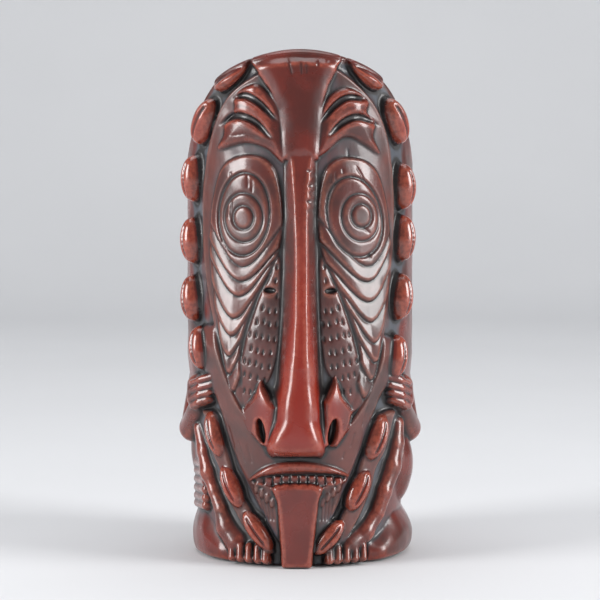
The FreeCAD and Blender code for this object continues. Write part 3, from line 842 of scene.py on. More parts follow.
@dataclass(frozen=True)
class MaskGround:
    """The long face's ground, its raised border, and the jaw round the mouth.

    Args:
        border: Outline of the face, seen from the front.
        jaw: Outline of the jaw.
        jaw_cracks: Cracks in the jaw.
        beard: Where the strokes under the mouth start, across.
        beard_up: Height at which they start and end.
        beard_draw: Share of its place across at which a stroke ends.
        face_h: Height of the face's ground.
        jaw_h: Height of the jaw.
        jaw_dome: Extra height of the jaw's middle, and how far inside it is full.
        rim_w: Half width of the raised border.
        rim_h: Height of the raised border.
    """

    border: Points = ((-16, 181), (-29.5, 170), (-36.5, 146), (-37, 112), (-31, 80), (-20.5, 56), (0, 40.5),
                      (19, 53), (30.3, 75), (35.5, 112), (35.5, 146), (29.5, 168), (15, 182), (0, 187))
    jaw: Points = ((-37.5, 88), (-31, 56), (-24, 37), (-15, 20), (-7, 8), (7, 8), (14, 20), (21, 36),
                   (29, 56), (36, 84))
    jaw_cracks: Lines = (
        ((-23.4, 47), (-20.6, 38)), ((-19.7, 45.5), (-17.7, 38)), ((25.3, 60), (23.2, 51)),
        ((20.6, 50), (18.7, 44)), ((-27.5, 52), (-25, 43)), ((16.5, 43), (15.6, 40)))
    beard: Sequence[float] = (-14.9, -13.4, -12.0, -10.7, 8.3, 9.7, 11.0, 12.4)
    beard_up: tuple[float, float] = (26.5, 16.5)
    beard_draw: float = 0.93
    face_h: float = 1.5
    jaw_h: float = 1.2
    jaw_dome: tuple[float, float] = (2.0, 13)
    rim_w: float = 1.5
    rim_h: float = 0.35

    def carve(self, relief: Relief) -> None:
        """Raises the ground and cuts its grain.

        Args:
            relief: The relief.
        """
        jaw, face = flowing(self.jaw, True), flowing(self.border, True)
        relief.raise_to(jaw, self.jaw_h, 2.2, "jaw_panel", *self.jaw_dome)
        relief.sink_to(face, height=0.9, shoulder=1.2)
        relief.raise_to(face, self.face_h, 0.9, "mask_panel")
        relief.cut_line(np.vstack([face, face[:1]]), self.rim_w, -self.rim_h, fade=0)
        for line in self.jaw_cracks:
            relief.cut_line(np.array(line), width=0.55, depth=0.35)
        start, end = self.beard_up
        for x in self.beard:
            stroke = np.array([(x, start), (self.beard_draw * x, end)])
            relief.cut_line(stroke, width=0.6, depth=0.6)


@dataclass(frozen=True)
class Crest:
    """The wedge over the forehead that runs down into the nose.

    Args:
        outline: Outline of the wedge, seen from the front.
        cracks: Cracks under its upper edge.
        edge_h: Height of its edge.
        shoulder: Width over which the edge rounds.
        dome: Extra height of its middle, and how far inside it is full.
    """

    outline: Points = ((-20.6, 187.0), (-16, 190), (0, 193), (15, 190), (17.0, 187.4), (13.8, 182.8),
                       (10.6, 176.5), (8.4, 169), (7.6, 160), (6.9, 150), (0, 148), (-6.6, 150), (-7.0, 160),
                       (-8.0, 168), (-11.4, 175), (-16.4, 182.2))
    cracks: Lines = (((-4.4, 187), (-3.6, 183.5), (-2.6, 179.8)), ((0.3, 185.5), (0.6, 180)),
                                ((2.1, 184.6), (2.4, 180.4)), ((10.4, 188), (9.8, 184.8)),
                                ((-2.2, 187.2), (2, 186.6), (6.2, 187)), ((6.4, 186), (6.2, 183.4)))
    edge_h: float = 3.0
    shoulder: float = 1.2
    dome: tuple[float, float] = (1.5, 6)

    def carve(self, relief: Relief) -> None:
        """Raises the wedge and nicks it.

        Args:
            relief: The relief.
        """
        outline = np.array(self.outline)
        relief.raise_to(outline, self.edge_h, self.shoulder, "forehead_crest", *self.dome)
        for crack in self.cracks:
            relief.cut_line(np.array(crack), width=0.6, depth=0.6, fade=0.2)


@dataclass(frozen=True)
class Nose:
    """The long nose: a narrow ridge that swells into a blunt tip.

    Args:
        stations: Height, left foot, ridge's left and right edge, right foot, height of the ridge.
        notches: Places of the chips in the ridge's right edge.
        crack: Crack along the top of the ridge.
        foot_low: Height at which the flanks begin beside the eyes.
        foot_rise: How much higher they begin beside the wings.
        flat_drop: Share by which the flat ridge sinks towards its edges.
        crisp_z: Height above which the ridge has crisp edges.
        full_z: Height below which the section is round.
        tip_z: Height under which the flanks grow full.
    """

    # How far across the nose is looked for, and how far off the wall its places are seen.
    REACH, SIGHT_H = 16, 4.0

    stations: Rows = (
        (156, -6.4, -4.2, 5.0, 7.2, 3.9), (150, -6.4, -3.4, 4.2, 7.0, 4.2),
        (140, -6.6, -2.4, 3.2, 7.0, 4.8), (130, -6.8, -1.8, 2.6, 7.0, 5.4),
        (120, -7.0, -1.6, 2.5, 7.2, 6.0), (110, -7.2, -1.5, 2.5, 7.4, 6.6),
        (100, -7.6, -1.6, 2.5, 7.6, 7.4), (90, -8.1, -1.8, 2.5, 7.9, 8.3),
        (80, -8.8, -2.1, 2.5, 8.2, 9.3), (70, -9.6, -2.5, 2.4, 8.8, 10.4),
        (60, -10.4, -3.0, 2.4, 9.0, 11.8), (54, -11.2, -3.4, 2.5, 9.2, 12.6),
        (49, -12.0, -3.9, 2.6, 9.4, 13.0), (46, -12.6, -4.3, 2.8, 9.6, 12.6),
        (44, -12.4, -4.4, 2.8, 9.4, 11.2), (42.4, -11.6, -4.2, 2.6, 8.8, 8.0),
        (41.0, -10.2, -4.0, 2.4, 7.8, 3.0))
    notches: Points = ((3.6, 140.5), (3.0, 135), (3.3, 146))
    crack: Points = ((-1.2, 151), (-1.4, 140), (-0.6, 121))
    foot_low: float = 1.2
    foot_rise: float = 3.4
    flat_drop: float = 0.05
    crisp_z: float = 100.0
    full_z: float = 60.0
    tip_z: float = 56.0

    def section(self, x: Array, z: Array, sides: Sequence[Array]) -> Array:
        """Works out how far the nose stands off the wall.

        Args:
            x: Places across.
            z: Heights.
            sides: Left foot, both edges of the ridge, right foot and height of the ridge at each place.

        Returns:
            Heights above the wall.
        """
        left, ridge_left, ridge_right, right, peak = sides
        # A carver's tremble on the ridge's right edge, between the brows and the eyes.
        ridge_right = ridge_right + 0.16 * np.sin(1.9 * z) * ease((z - 126) / 8) * ease((150 - z) / 6)
        middle, half = 0.5 * (ridge_left + ridge_right), 0.5 * (ridge_right - ridge_left)
        flat = peak * (1 - self.flat_drop * np.clip((x - middle) / half, -1, 1) ** 2)
        foot = self.foot_low + self.foot_rise * ease((70 - z) / 12)
        up = np.where(x < 0, (x - left) / (ridge_left - left), (right - x) / (right - ridge_right))
        crisp = foot + (0.92 * peak - foot) * np.clip(up, 0, 1) ** 1.25
        reach = np.where(x < middle, (middle - x) / (middle - left), (x - middle) / (right - middle))
        fall = 1.7 + 2.0 * ease((self.tip_z - z) / 12)
        full = foot + (peak - foot) * (1 - ease(np.clip(reach, 0, 1) ** fall))
        bulb = ease((self.crisp_z - z) / (self.crisp_z - self.full_z))
        on_ridge = (x > ridge_left) & (x < ridge_right)
        return np.where(on_ridge, flat, crisp) * (1 - bulb) + full * bulb

    def carve(self, relief: Relief) -> None:
        """Raises the nose with a crisp ridge above and a full tip below.

        Args:
            relief: The relief.
        """
        table = flowing([row[:2] for row in self.stations])
        z_knots = table[:, 0][::-1]
        sides = [flowing([(row[0], row[k]) for row in self.stations])[:, 1][::-1] for k in range(1, 6)]
        low, high = self.stations[-1][0], self.stations[0][0]
        at = relief.box((-self.REACH, low), (self.REACH, high))
        z = relief.z.flat[at]
        sides = [np.interp(z, z_knots, side) for side in sides]
        x = (relief.wall.flat[at] + self.SIGHT_H) * np.sin(relief.angle.flat[at])
        height = self.section(x, z, sides)
        inside = (x > sides[0]) & (x < sides[3])
        relief.h.flat[at] = np.where(inside, np.maximum(relief.h.flat[at], height), relief.h.flat[at])
        relief.claim(at[inside], "nose")
        for x0, z0 in self.notches:
            relief.cut_oval(x0, z0, half_x=0.9, half_z=0.7, depth=0.6)
        relief.cut_line(np.array(self.crack), width=0.5, depth=0.22, fade=0.2)


@dataclass(frozen=True)
class Side:
    """Everything that the mask has once on each side, for one side.

    Args:
        name: left or right, as the parts are named.
        plate: Outline of the eye plate.
        rings: Outer ring, inner ring and pupil: centre, half sizes and lean.
        scallops: Three points of every hanging arc, from the outside in.
        leaf: Outline of the pecked leaf.
        leaf_eye: Centre of its almond hole.
        wing: Outline of the nostril wing.
        nostril: Centre and half sizes of the nostril.
        brow: Outline of the brow.
        brow_cuts: Grooves that part the brow.
        nicks: Short cracks round the eye.
    """

    name: str
    plate: Points
    rings: Rows
    scallops: Lines
    leaf: Points
    leaf_eye: tuple[float, float]
    wing: Points
    nostril: tuple[float, ...]
    brow: Points
    brow_cuts: Lines
    nicks: Lines


LEFT = Side(
    "left",
    plate=((-20.2, 56.5), (-26.8, 68), (-32.0, 95), (-34.0, 122), (-30.0, 145.4), (-19.8, 151.6),
           (-10.0, 147.6), (-6.1, 131), (-8.2, 115), (-16.4, 99), (-22.0, 80)),
    rings=((-20.4, 130.0, 9.2, 15.0, 4), (-20.3, 128.8, 6.8, 8.8, 0), (-20.2, 128.8, 3.5, 4.2, 0)),
    scallops=(((-36, 130), (-21, 111), (-5, 128)), ((-36, 123.5), (-21.9, 105.6), (-6.6, 119)),
              ((-35.8, 117), (-22.8, 100), (-10, 113)), ((-35.2, 109), (-24.6, 91.8), (-13.6, 105)),
              ((-34.2, 100), (-25.4, 85.2), (-17.2, 97)), ((-33, 92), (-26.4, 77.6), (-19.4, 89.5)),
              ((-31.4, 84), (-26.4, 71), (-20.6, 82.5)), ((-29.8, 76.5), (-24.8, 64.6), (-20.4, 76))),
    leaf=((-7.6, 115), (-7.2, 100), (-8.4, 80), (-11.2, 70), (-14.6, 66), (-20.4, 57.6), (-21.8, 70),
          (-21.5, 80), (-16, 98), (-12, 106)),
    leaf_eye=(-11.2, 102.4),
    wing=((-14.4, 69.6), (-17.8, 62.6), (-22.4, 57), (-19.6, 51.0), (-13.4, 45.2), (-9, 45.4), (-8.0, 60)),
    nostril=(-13.6, 50.8, 1.8, 5.0),
    brow=((-30.6, 153.2), (-28.6, 158.5), (-28, 164), (-24.6, 167.6), (-24, 173.4), (-17, 177.2),
          (-11.4, 174), (-7, 169.5), (-6, 160), (-5.8, 148.6), (-12.4, 153.8), (-20.6, 155.8)),
    brow_cuts=(((-25.4, 171.6), (-20.4, 173.0), (-14.8, 170.2), (-7.2, 162.4)),
               ((-31.0, 161.6), (-24.2, 165.6), (-16.8, 163.8), (-9.2, 156.6))),
    nicks=(((-18.9, 145), (-18.5, 139)), ((-17.3, 143.4), (-17.0, 137.4)), ((-25.2, 145.5), (-24.7, 142.8)),
           ((-24.4, 135.4), (-24.8, 128)), ((-25.9, 133), (-26.1, 128)), ((-28.6, 120.4), (-27.6, 117)),
           ((-27.2, 118), (-26.4, 115)), ((-26, 158.4), (-20, 159.2), (-13.6, 157.6))),
)
RIGHT = Side(
    "right",
    plate=((18.4, 56.6), (27.2, 67), (32.6, 95), (34.2, 120), (29.2, 144.6), (18.4, 150.8), (9.4, 146.4),
           (6.2, 130), (8.2, 115), (16.2, 98), (22.0, 78)),
    rings=((20.0, 129, 9.8, 14.8, -14), (21.7, 128.8, 6.7, 8.6, -10), (21.9, 129.4, 3.5, 4.2, -8)),
    scallops=(((36, 127), (24.4, 111), (4.8, 131)), ((36, 122), (24.6, 105.2), (7, 120.5)),
              ((36, 114), (25.4, 97.8), (10.8, 111)), ((35.4, 105.5), (26.2, 90.2), (14.8, 102.5)),
              ((34.6, 98.5), (27.6, 82.4), (18, 95)), ((33.4, 89.5), (28, 75.2), (19.6, 88)),
              ((32.2, 82.5), (26.4, 68.6), (20.4, 80.5)), ((30.4, 75), (24, 62), (19.2, 74))),
    leaf=((7.6, 115), (7.3, 100), (8.2, 80), (10.0, 72.4), (14.6, 66), (18.4, 57.8), (21.6, 68), (21.8, 78),
          (16, 97), (12, 106)),
    leaf_eye=(11.4, 102.2),
    wing=((13.0, 71.4), (15.8, 63.4), (19.8, 57.4), (18, 51.2), (13.2, 44.8), (8, 45.2), (7.6, 62)),
    nostril=(11.2, 50.6, 1.9, 5.4),
    brow=((29.9, 151.6), (27.4, 158), (28.4, 163.4), (25, 166.6), (25.4, 171.4), (18, 175.8), (11.6, 173.6),
          (7.6, 168.6), (6.6, 160), (6.2, 151.6), (9.4, 152.4), (14.7, 157), (18.7, 157.8), (23.4, 155.4)),
    brow_cuts=(((7.2, 162.8), (12.8, 169.4), (18.4, 172.4), (26.4, 171.0)),
               ((9.4, 157.6), (15.8, 163.4), (22.0, 165.2), (30.6, 161.6))),
    nicks=(((11.1, 145), (11.3, 141)), ((12.7, 146), (12.9, 142)), ((15.2, 147), (15.4, 144.6)),
           ((20.0, 148), (23.7, 141)), ((22.2, 125), (25.0, 123)), ((24.8, 115.6), (25.4, 113.4)),
           ((18.0, 154.4), (18.2, 150.6))),
)


@dataclass(frozen=True)
class MaskSide:
    """Carves the brow, eye, cheek and nostril of one side.

    Args:
        side: Where everything lies.
        plate_h: Height of the eye plate's edge.
        ring_step: How much each ring stands above the one outside it.
        ring_groove: Depth and half width of the V groove round each ring.
        scale_lift: How far a scallop rises towards its lower edge.
        scale_length: Length over which it rises, shortest and longest.
        last_scale: Height down to which the last scallop runs.
        leaf_h: Height of the leaf.
        peck: Half sizes and depth of one peck in the leaf.
        peck_gap: Spacing of the pecks across and up.
        leaf_hole: Half sizes and depth of the leaf's almond hole.
        brow_h: Height of the brow.
        nostril_depth: Depth of the nostril.
        nostril_lean: Degrees by which its top leans outwards.
    """

    side: Side
    plate_h: float = 2.3
    ring_step: float = 0.35
    ring_groove: float = 0.75
    scale_lift: float = 1.15
    scale_length: tuple[float, float] = (1.5, 9.0)
    last_scale: float = 50.0
    leaf_h: float = 2.2
    peck: tuple[float, float, float] = (0.55, 1.35, 0.75)
    peck_gap: tuple[float, float] = (2.35, 5.3)
    leaf_hole: tuple[float, float, float] = (2.5, 1.35, 2.2)
    brow_h: float = 2.6
    nostril_depth: float = 4.4
    nostril_lean: float = 10.0

    def carve(self, relief: Relief) -> None:
        """Carves the eye, cheek, nostril wing and nicks of the side, in the order in which the parts overlap.

        Args:
            relief: The relief.
        """
        self.carve_eye(relief)
        self.carve_scallops(relief)
        self.carve_leaf(relief)
        self.carve_wing(relief)
        for nick in self.side.nicks:
            relief.cut_line(np.array(nick), width=0.5, depth=0.45, fade=0.25)

    def carve_eye(self, relief: Relief) -> None:
        """Domed plate with stepped rings and a pupil.

        Args:
            relief: The relief.
        """
        name = self.side.name
        plate = flowing(self.side.plate, True)
        relief.raise_to(plate, self.plate_h, 1.1, name + "_eye_plate", dome=1.2, dome_width=9)
        for ring in self.side.rings:
            outline = oval(*ring)
            node = name + ("_pupil" if ring is self.side.rings[-1] else "_eye_rings")
            at, px, pz = relief.near(outline, 1.6)
            depth = outline_depth(px, pz, outline)
            rounded = np.sqrt(np.clip(depth / 1.3, 0, 1))
            relief.h.flat[at] += np.where(depth > 0, self.ring_step * rounded, 0)
            groove = np.clip(1 - np.abs(depth + 0.15) / self.ring_groove, 0, 1)
            relief.h.flat[at] -= self.ring_groove * groove
            relief.claim(at[depth > 0], node)

    def scallop_edges(self, x: Array) -> list[Array]:
        """Heights of every scallop's lower edge at places across, from the top down.

        Args:
            x: The places.

        Returns:
            One array of heights per scallop.
        """
        edges = []
        for arc in self.side.scallops:
            curve = flowing(arc, steps=12)
            curve = curve[np.argsort(curve[:, 0])]
            first, last = curve[1] - curve[0], curve[-1] - curve[-2]
            ends = [curve[0] - 8 * first / abs(first[0]), curve[-1] + 8 * last / abs(last[0])]
            curve = np.vstack([ends[0], curve, ends[1]])
            edges.append(np.interp(x, curve[:, 0], curve[:, 1]))
        return edges

    def carve_scallops(self, relief: Relief) -> None:
        """Hanging scales, each rising to a round lower edge over the next.

        Args:
            relief: The relief.
        """
        plate = flowing(self.side.plate, True)
        at, x, z = relief.near(plate, 0)
        ring = outline_depth(x, z, oval(*self.side.rings[0]))
        inside = (outline_depth(x, z, plate) > 0.5) & (ring < -0.5)
        upper = np.full_like(z, np.inf)
        lift = np.zeros_like(z)
        covered = np.zeros(z.shape, bool)
        shortest, longest = self.scale_length
        for number, lower in enumerate(self.scallop_edges(x) + [np.full_like(z, self.last_scale)]):
            band = inside & (z <= upper) & (z > lower)
            up = (z - lower) / np.maximum(np.minimum(upper - lower, longest), shortest)
            edge = np.sqrt(np.clip((z - lower) / 1.3, 0, 1))
            tucked = 0.5 * np.clip(1 - (upper - z) / 0.9, 0, 1)
            if number == 0:
                scale = self.ring_step * edge
            else:
                scale = self.scale_lift * np.clip(1 - up, 0, 1) ** 0.8 * edge - 0.3 - tucked
                covered |= band
            lift = np.where(band, scale, lift)
            upper = lower
        relief.h.flat[at] += lift
        relief.claim(at[covered], self.side.name + "_cheek_scallops")

    def carve_leaf(self, relief: Relief) -> None:
        """Leaf between nose and cheek, pecked all over, with an almond hole.

        Args:
            relief: The relief.
        """
        leaf = flowing(self.side.leaf, True, 4)
        node = self.side.name + "_cheek_leaf"
        relief.raise_to(leaf, self.leaf_h, 0.9, node, dome=0.7, dome_width=5)
        sign = math.copysign(1, self.side.leaf_eye[0])
        half_x, half_z, depth = self.peck
        across, up = self.peck_gap
        rng = np.random.default_rng(SEED)
        for row, z in enumerate(np.arange(111, 62, -up)):
            for column in range(8):
                x = sign * (8.6 + across * column + 0.5 * (row % 2)) + rng.uniform(-0.25, 0.25)
                z_peck = z + rng.uniform(-0.5, 0.5) + 0.5 * column
                off_edge = outline_depth(np.array([x]), np.array([z_peck]), leaf)[0]
                off_hole = math.hypot(x - self.side.leaf_eye[0], z_peck - self.side.leaf_eye[1])
                if off_edge >= 0.9 and off_hole >= 3.2:
                    relief.cut_oval(x, z_peck, half_x, half_z, depth, -6 * sign)
        relief.cut_oval(*self.side.leaf_eye, *self.leaf_hole)

    def carve_brow(self, relief: Relief) -> None:
        """Brow parted into three overlapping ridges.

        Args:
            relief: The relief.
        """
        brow = flowing(self.side.brow, True, 5)
        relief.raise_to(brow, self.brow_h, 1.6, self.side.name + "_brows", dome=1.2, dome_width=6)
        for cut in self.side.brow_cuts:
            relief.cut_almond(flowing(cut), width=1.9, depth=2.2)

    def carve_wing(self, relief: Relief) -> None:
        """Flared wing that rises towards the nose, with a deep nostril.

        Args:
            relief: The relief.
        """
        wing = np.array(self.side.wing)
        at, x, z = relief.near(wing, 0.3)
        depth = outline_depth(x, z, wing)
        inward = ease((22 - np.abs(x)) / 13)
        target = 3.0 + 4.2 * inward - 1.4 * ease((z - 60) / 12)
        rise = np.sqrt(np.clip(depth / 1.4, 0, 1))
        h = relief.h.flat[at]
        inside = (depth > 0) & (target > h)
        relief.h.flat[at] = np.where(inside, h + (target - h) * rise, h)
        relief.claim(at[inside], self.side.name + "_nostril_wing")
        lean = math.copysign(self.nostril_lean, self.side.nostril[0])
        relief.cut_oval(*self.side.nostril, self.nostril_depth, lean)


@dataclass(frozen=True)
class Mouth:
    """Thin lip, two rows of teeth and the long tongue.

    Args:
        lip: Outline of the upper lip.
        gap: Outline of the open mouth.
        tongue: Outline of the tongue.
        teeth: Number of upper teeth.
        tooth: Spacing of the upper teeth.
        teeth_up: Lowest and highest height of the upper teeth.
        lower_rows: First and last place of the lower teeth on each side.
        lower_tooth: Half sizes and lean of a lower tooth.
        edges: Lines of the lower lip on each side of the tongue.
        lip_h: Height of the upper lip's edge.
        tongue_h: Height of the tongue's edge.
        tooth_h: Height of the upper teeth.
    """

    lip: Points = ((-19.4, 31.4), (-14, 36.4), (-8.6, 38.8), (0, 39.8), (7, 38.8), (13, 36.8), (18.8, 33),
                   (13, 34.6), (6, 35.4), (0, 35.6), (-8, 35.0), (-14, 33.6))
    gap: Points = ((-18.6, 31.6), (-13, 33.8), (-6, 35), (6, 35.2), (13, 34.6), (17.8, 33.2), (13, 30.2),
                   (6.6, 29.6), (-8.4, 29.4), (-13, 30))
    tongue: Points = ((-9.2, 30.6), (7.2, 30.6), (6.8, 24), (5.9, 15), (4.8, 0.2), (4.2, -1), (-6.8, -1),
                      (-7.2, 0.2), (-7.8, 15), (-8.4, 24))
    teeth: int = 10
    tooth: float = 3.25
    teeth_up: tuple[float, float] = (30.2, 34.4)
    lower_rows: Lines = (((-16.2, 28.8), (-10.2, 23.8)), ((14.4, 29.4), (8.2, 24.2)))
    lower_tooth: tuple[float, float, float] = (1.05, 1.9, 10)
    edges: Lines = (((-18.8, 30.6), (-13, 30.2), (-8.8, 29)),
                               ((6.8, 29.4), (12, 30.6), (18.2, 32)))
    lip_h: float = 4.2
    tongue_h: float = 5.0
    tooth_h: float = 2.8

    def carve(self, relief: Relief) -> None:
        """Opens the mouth and sets the teeth and tongue in it.

        Args:
            relief: The relief.
        """
        relief.sink_to(flowing(self.gap, True, 4), height=1.1, shoulder=0.9)
        low, high = self.teeth_up
        for i in range(self.teeth):
            x = (i - 0.5 * (self.teeth - 1)) * self.tooth - 0.4
            left, right, top = x - 1.55, x + 1.55, high - 0.006 * x * x
            box = np.array([(left, low), (left, top), (right, top), (right, low)])
            relief.raise_to(box, self.tooth_h, 0.6, "upper_teeth")
        lip = flowing(self.lip, True, 4)
        relief.raise_to(lip, self.lip_h, 1.5, "upper_lip", dome=0.6, dome_width=2.4)
        for start, end in self.lower_rows:
            for share in np.linspace(0, 1, 4):
                x, z = start[0] + share * (end[0] - start[0]), start[1] + share * (end[1] - start[1])
                relief.raise_to(oval(x, z, *self.lower_tooth), 3.1, 0.7, "lower_teeth")
        for edge in self.edges:
            relief.cut_line(flowing(edge), width=0.9, depth=-0.7, fade=0.1)
        tongue = flowing(self.tongue, True, 4)
        relief.raise_to(tongue, self.tongue_h, 1.5, "tongue", dome=0.35, dome_width=4)


@dataclass(frozen=True)
class ShellRow:
    """One row of cowrie shells on its strap.

    Args:
        name: left or right.
        sign: -1 or 1.
        shells: Place across and up as seen from the front, lean in degrees, length and radius at the middle.
        band: Outline of the strap's lower part, seen from the front.
        lift: How far a shell's middle stands off the wall.
        strap: Half width of the strap.
        valley: Half width and depth of the valley in which the strap lies.
        ends: Where the valley starts above the shells and ends under them, across on the right and up.
        band_h: Height of the lower strap's edge.
        seen_h: How far off the wall the shells' places are seen.
        slit: Half width, depth and half length of a shell's slit, as shares of its radius and length.
        saw: How far the teeth of the slit reach, as a share of the radius.
    """

    name: str
    sign: int
    shells: Rows
    band: Points
    lift: float = 1.2
    strap: float = 3.6
    valley: tuple[float, float] = (7.5, 1.0)
    ends: Points = ((16.5, 186.0), (8.5, 3.0))
    band_h: float = 1.7
    seen_h: float = 4.9
    slit: tuple[float, float, float] = (0.17, 0.28, 0.42)
    saw: float = 0.02653

    def places(self, cup: Cup) -> list[tuple[float, ...]]:
        """Works out where the shells lie round the cup.

        Args:
            cup: The plain cup.

        Returns:
            Angle, height, lean, length, radius and wall radius of every shell.
        """
        found = []
        for x, z, lean, length, radius in self.shells:
            wall = float(cup.radius(np.array(z)))
            angle = math.degrees(math.asin(x / (wall + self.seen_h)))
            found.append((angle, z, lean, length, radius, wall))
        return found

    def hollow(self, relief: Relief) -> None:
        """Hollows the valley along the row and gives its middle to the strap.

        Args:
            relief: The relief.
        """
        start, finish = [(self.sign * x, z) for x, z in self.ends]
        shells = [(relief.cup.unrolled(angle), z) for angle, z, *_ in self.places(relief.cup)]
        middle = flowing([start] + shells + [finish])
        half, depth = self.valley
        at, u, z = relief.near(middle, half + 1.5, Face.UNROLLED)
        gap, _ = line_gap(u, z, middle)
        relief.h.flat[at] -= depth * (1 - ease(gap / half))
        own = (gap < self.strap) & (relief.owner.flat[at] == 0)
        relief.claim(at[own], self.name + "_shell_strap")

    def raise_band(self, relief: Relief) -> None:
        """Raises the lower strap, whose outer edge is crisp against the leg."""
        band, node = flowing(self.band, True, 5), self.name + "_shell_strap"
        relief.raise_to(band, self.band_h, 0.9, node, dome=0.5, dome_width=3)

    def carve(self, relief: Relief) -> None:
        """Lays the shells in their valley and slits them.

        Args:
            relief: The relief.
        """
        width, depth, reach = self.slit
        for number, (angle, z, lean, length, radius, wall) in enumerate(self.places(relief.cup), 1):
            centre = turned(angle, wall + self.lift, z)
            a, tilt = math.radians(angle), math.radians(lean)
            axis = np.array([math.sin(tilt) * math.cos(a), math.sin(tilt) * math.sin(a), math.cos(tilt)])
            relief.cast(lambda p: spindle(p, centre, axis, length / 2, radius), (angle, 17), (z - 11, z + 11),
                        wall + 8, f"{self.name}_shell_{number}")
            along = np.array([math.sin(tilt), math.cos(tilt)])
            steps = np.linspace(-reach, reach, 19) * length
            slit = np.array([relief.cup.unrolled(angle), z]) + np.outer(steps, along)
            slit[1:-1:2, 0] += self.saw * radius
            relief.cut_line(slit, width * radius, depth * radius, 0.18, Face.UNROLLED)


LEFT_SHELLS = ShellRow("left", -1, (
    (-27.6, 181.4, 47, 18.5, 4.8), (-37.8, 163.2, 30, 19, 4.9), (-42.8, 142, 3, 17.5, 4.9),
    (-43.2, 119, -2, 17.5, 4.9), (-43.2, 97.4, -5, 17.5, 4.9), (-39.9, 79.4, -9, 16.5, 4.7),
    (-34.1, 47.6, -22, 17.5, 3.9), (-27.3, 28.8, -28, 17.5, 3.8), (-17.0, 12.8, -38, 17.5, 3.6)),
    ((-38, 56), (-36.7, 52.1), (-34.9, 42.2), (-31.3, 34.3), (-29.8, 26.8), (-25.3, 19.2), (-20.3, 11.4),
     (-13.2, 5.4), (-10, 5), (-13, 11.5), (-21.5, 25), (-25.8, 35), (-29.4, 47), (-32.5, 55)))
RIGHT_SHELLS = ShellRow("right", 1, (
    (26.6, 182.2, -45, 18.5, 4.8), (37.8, 163.4, -29, 19, 4.9), (41.3, 139.2, -4, 17.5, 4.9),
    (41.3, 120, 2, 17.5, 4.9), (40.3, 98.4, 6, 17.5, 4.9), (38.4, 76.4, 9, 16.5, 4.7),
    (30.4, 47, 24, 18, 4.4), (23.2, 27.8, 28, 17, 4.1), (11.4, 10.6, 42, 16, 3.7)),
    ((37, 56), (36, 52), (33.6, 42.6), (29.6, 35), (27.4, 27), (23.6, 18.6), (18.6, 10.6), (11.6, 4.6),
     (8.6, 4.6), (11.6, 11), (17.6, 22), (22, 35), (26.6, 47), (31.5, 55)))


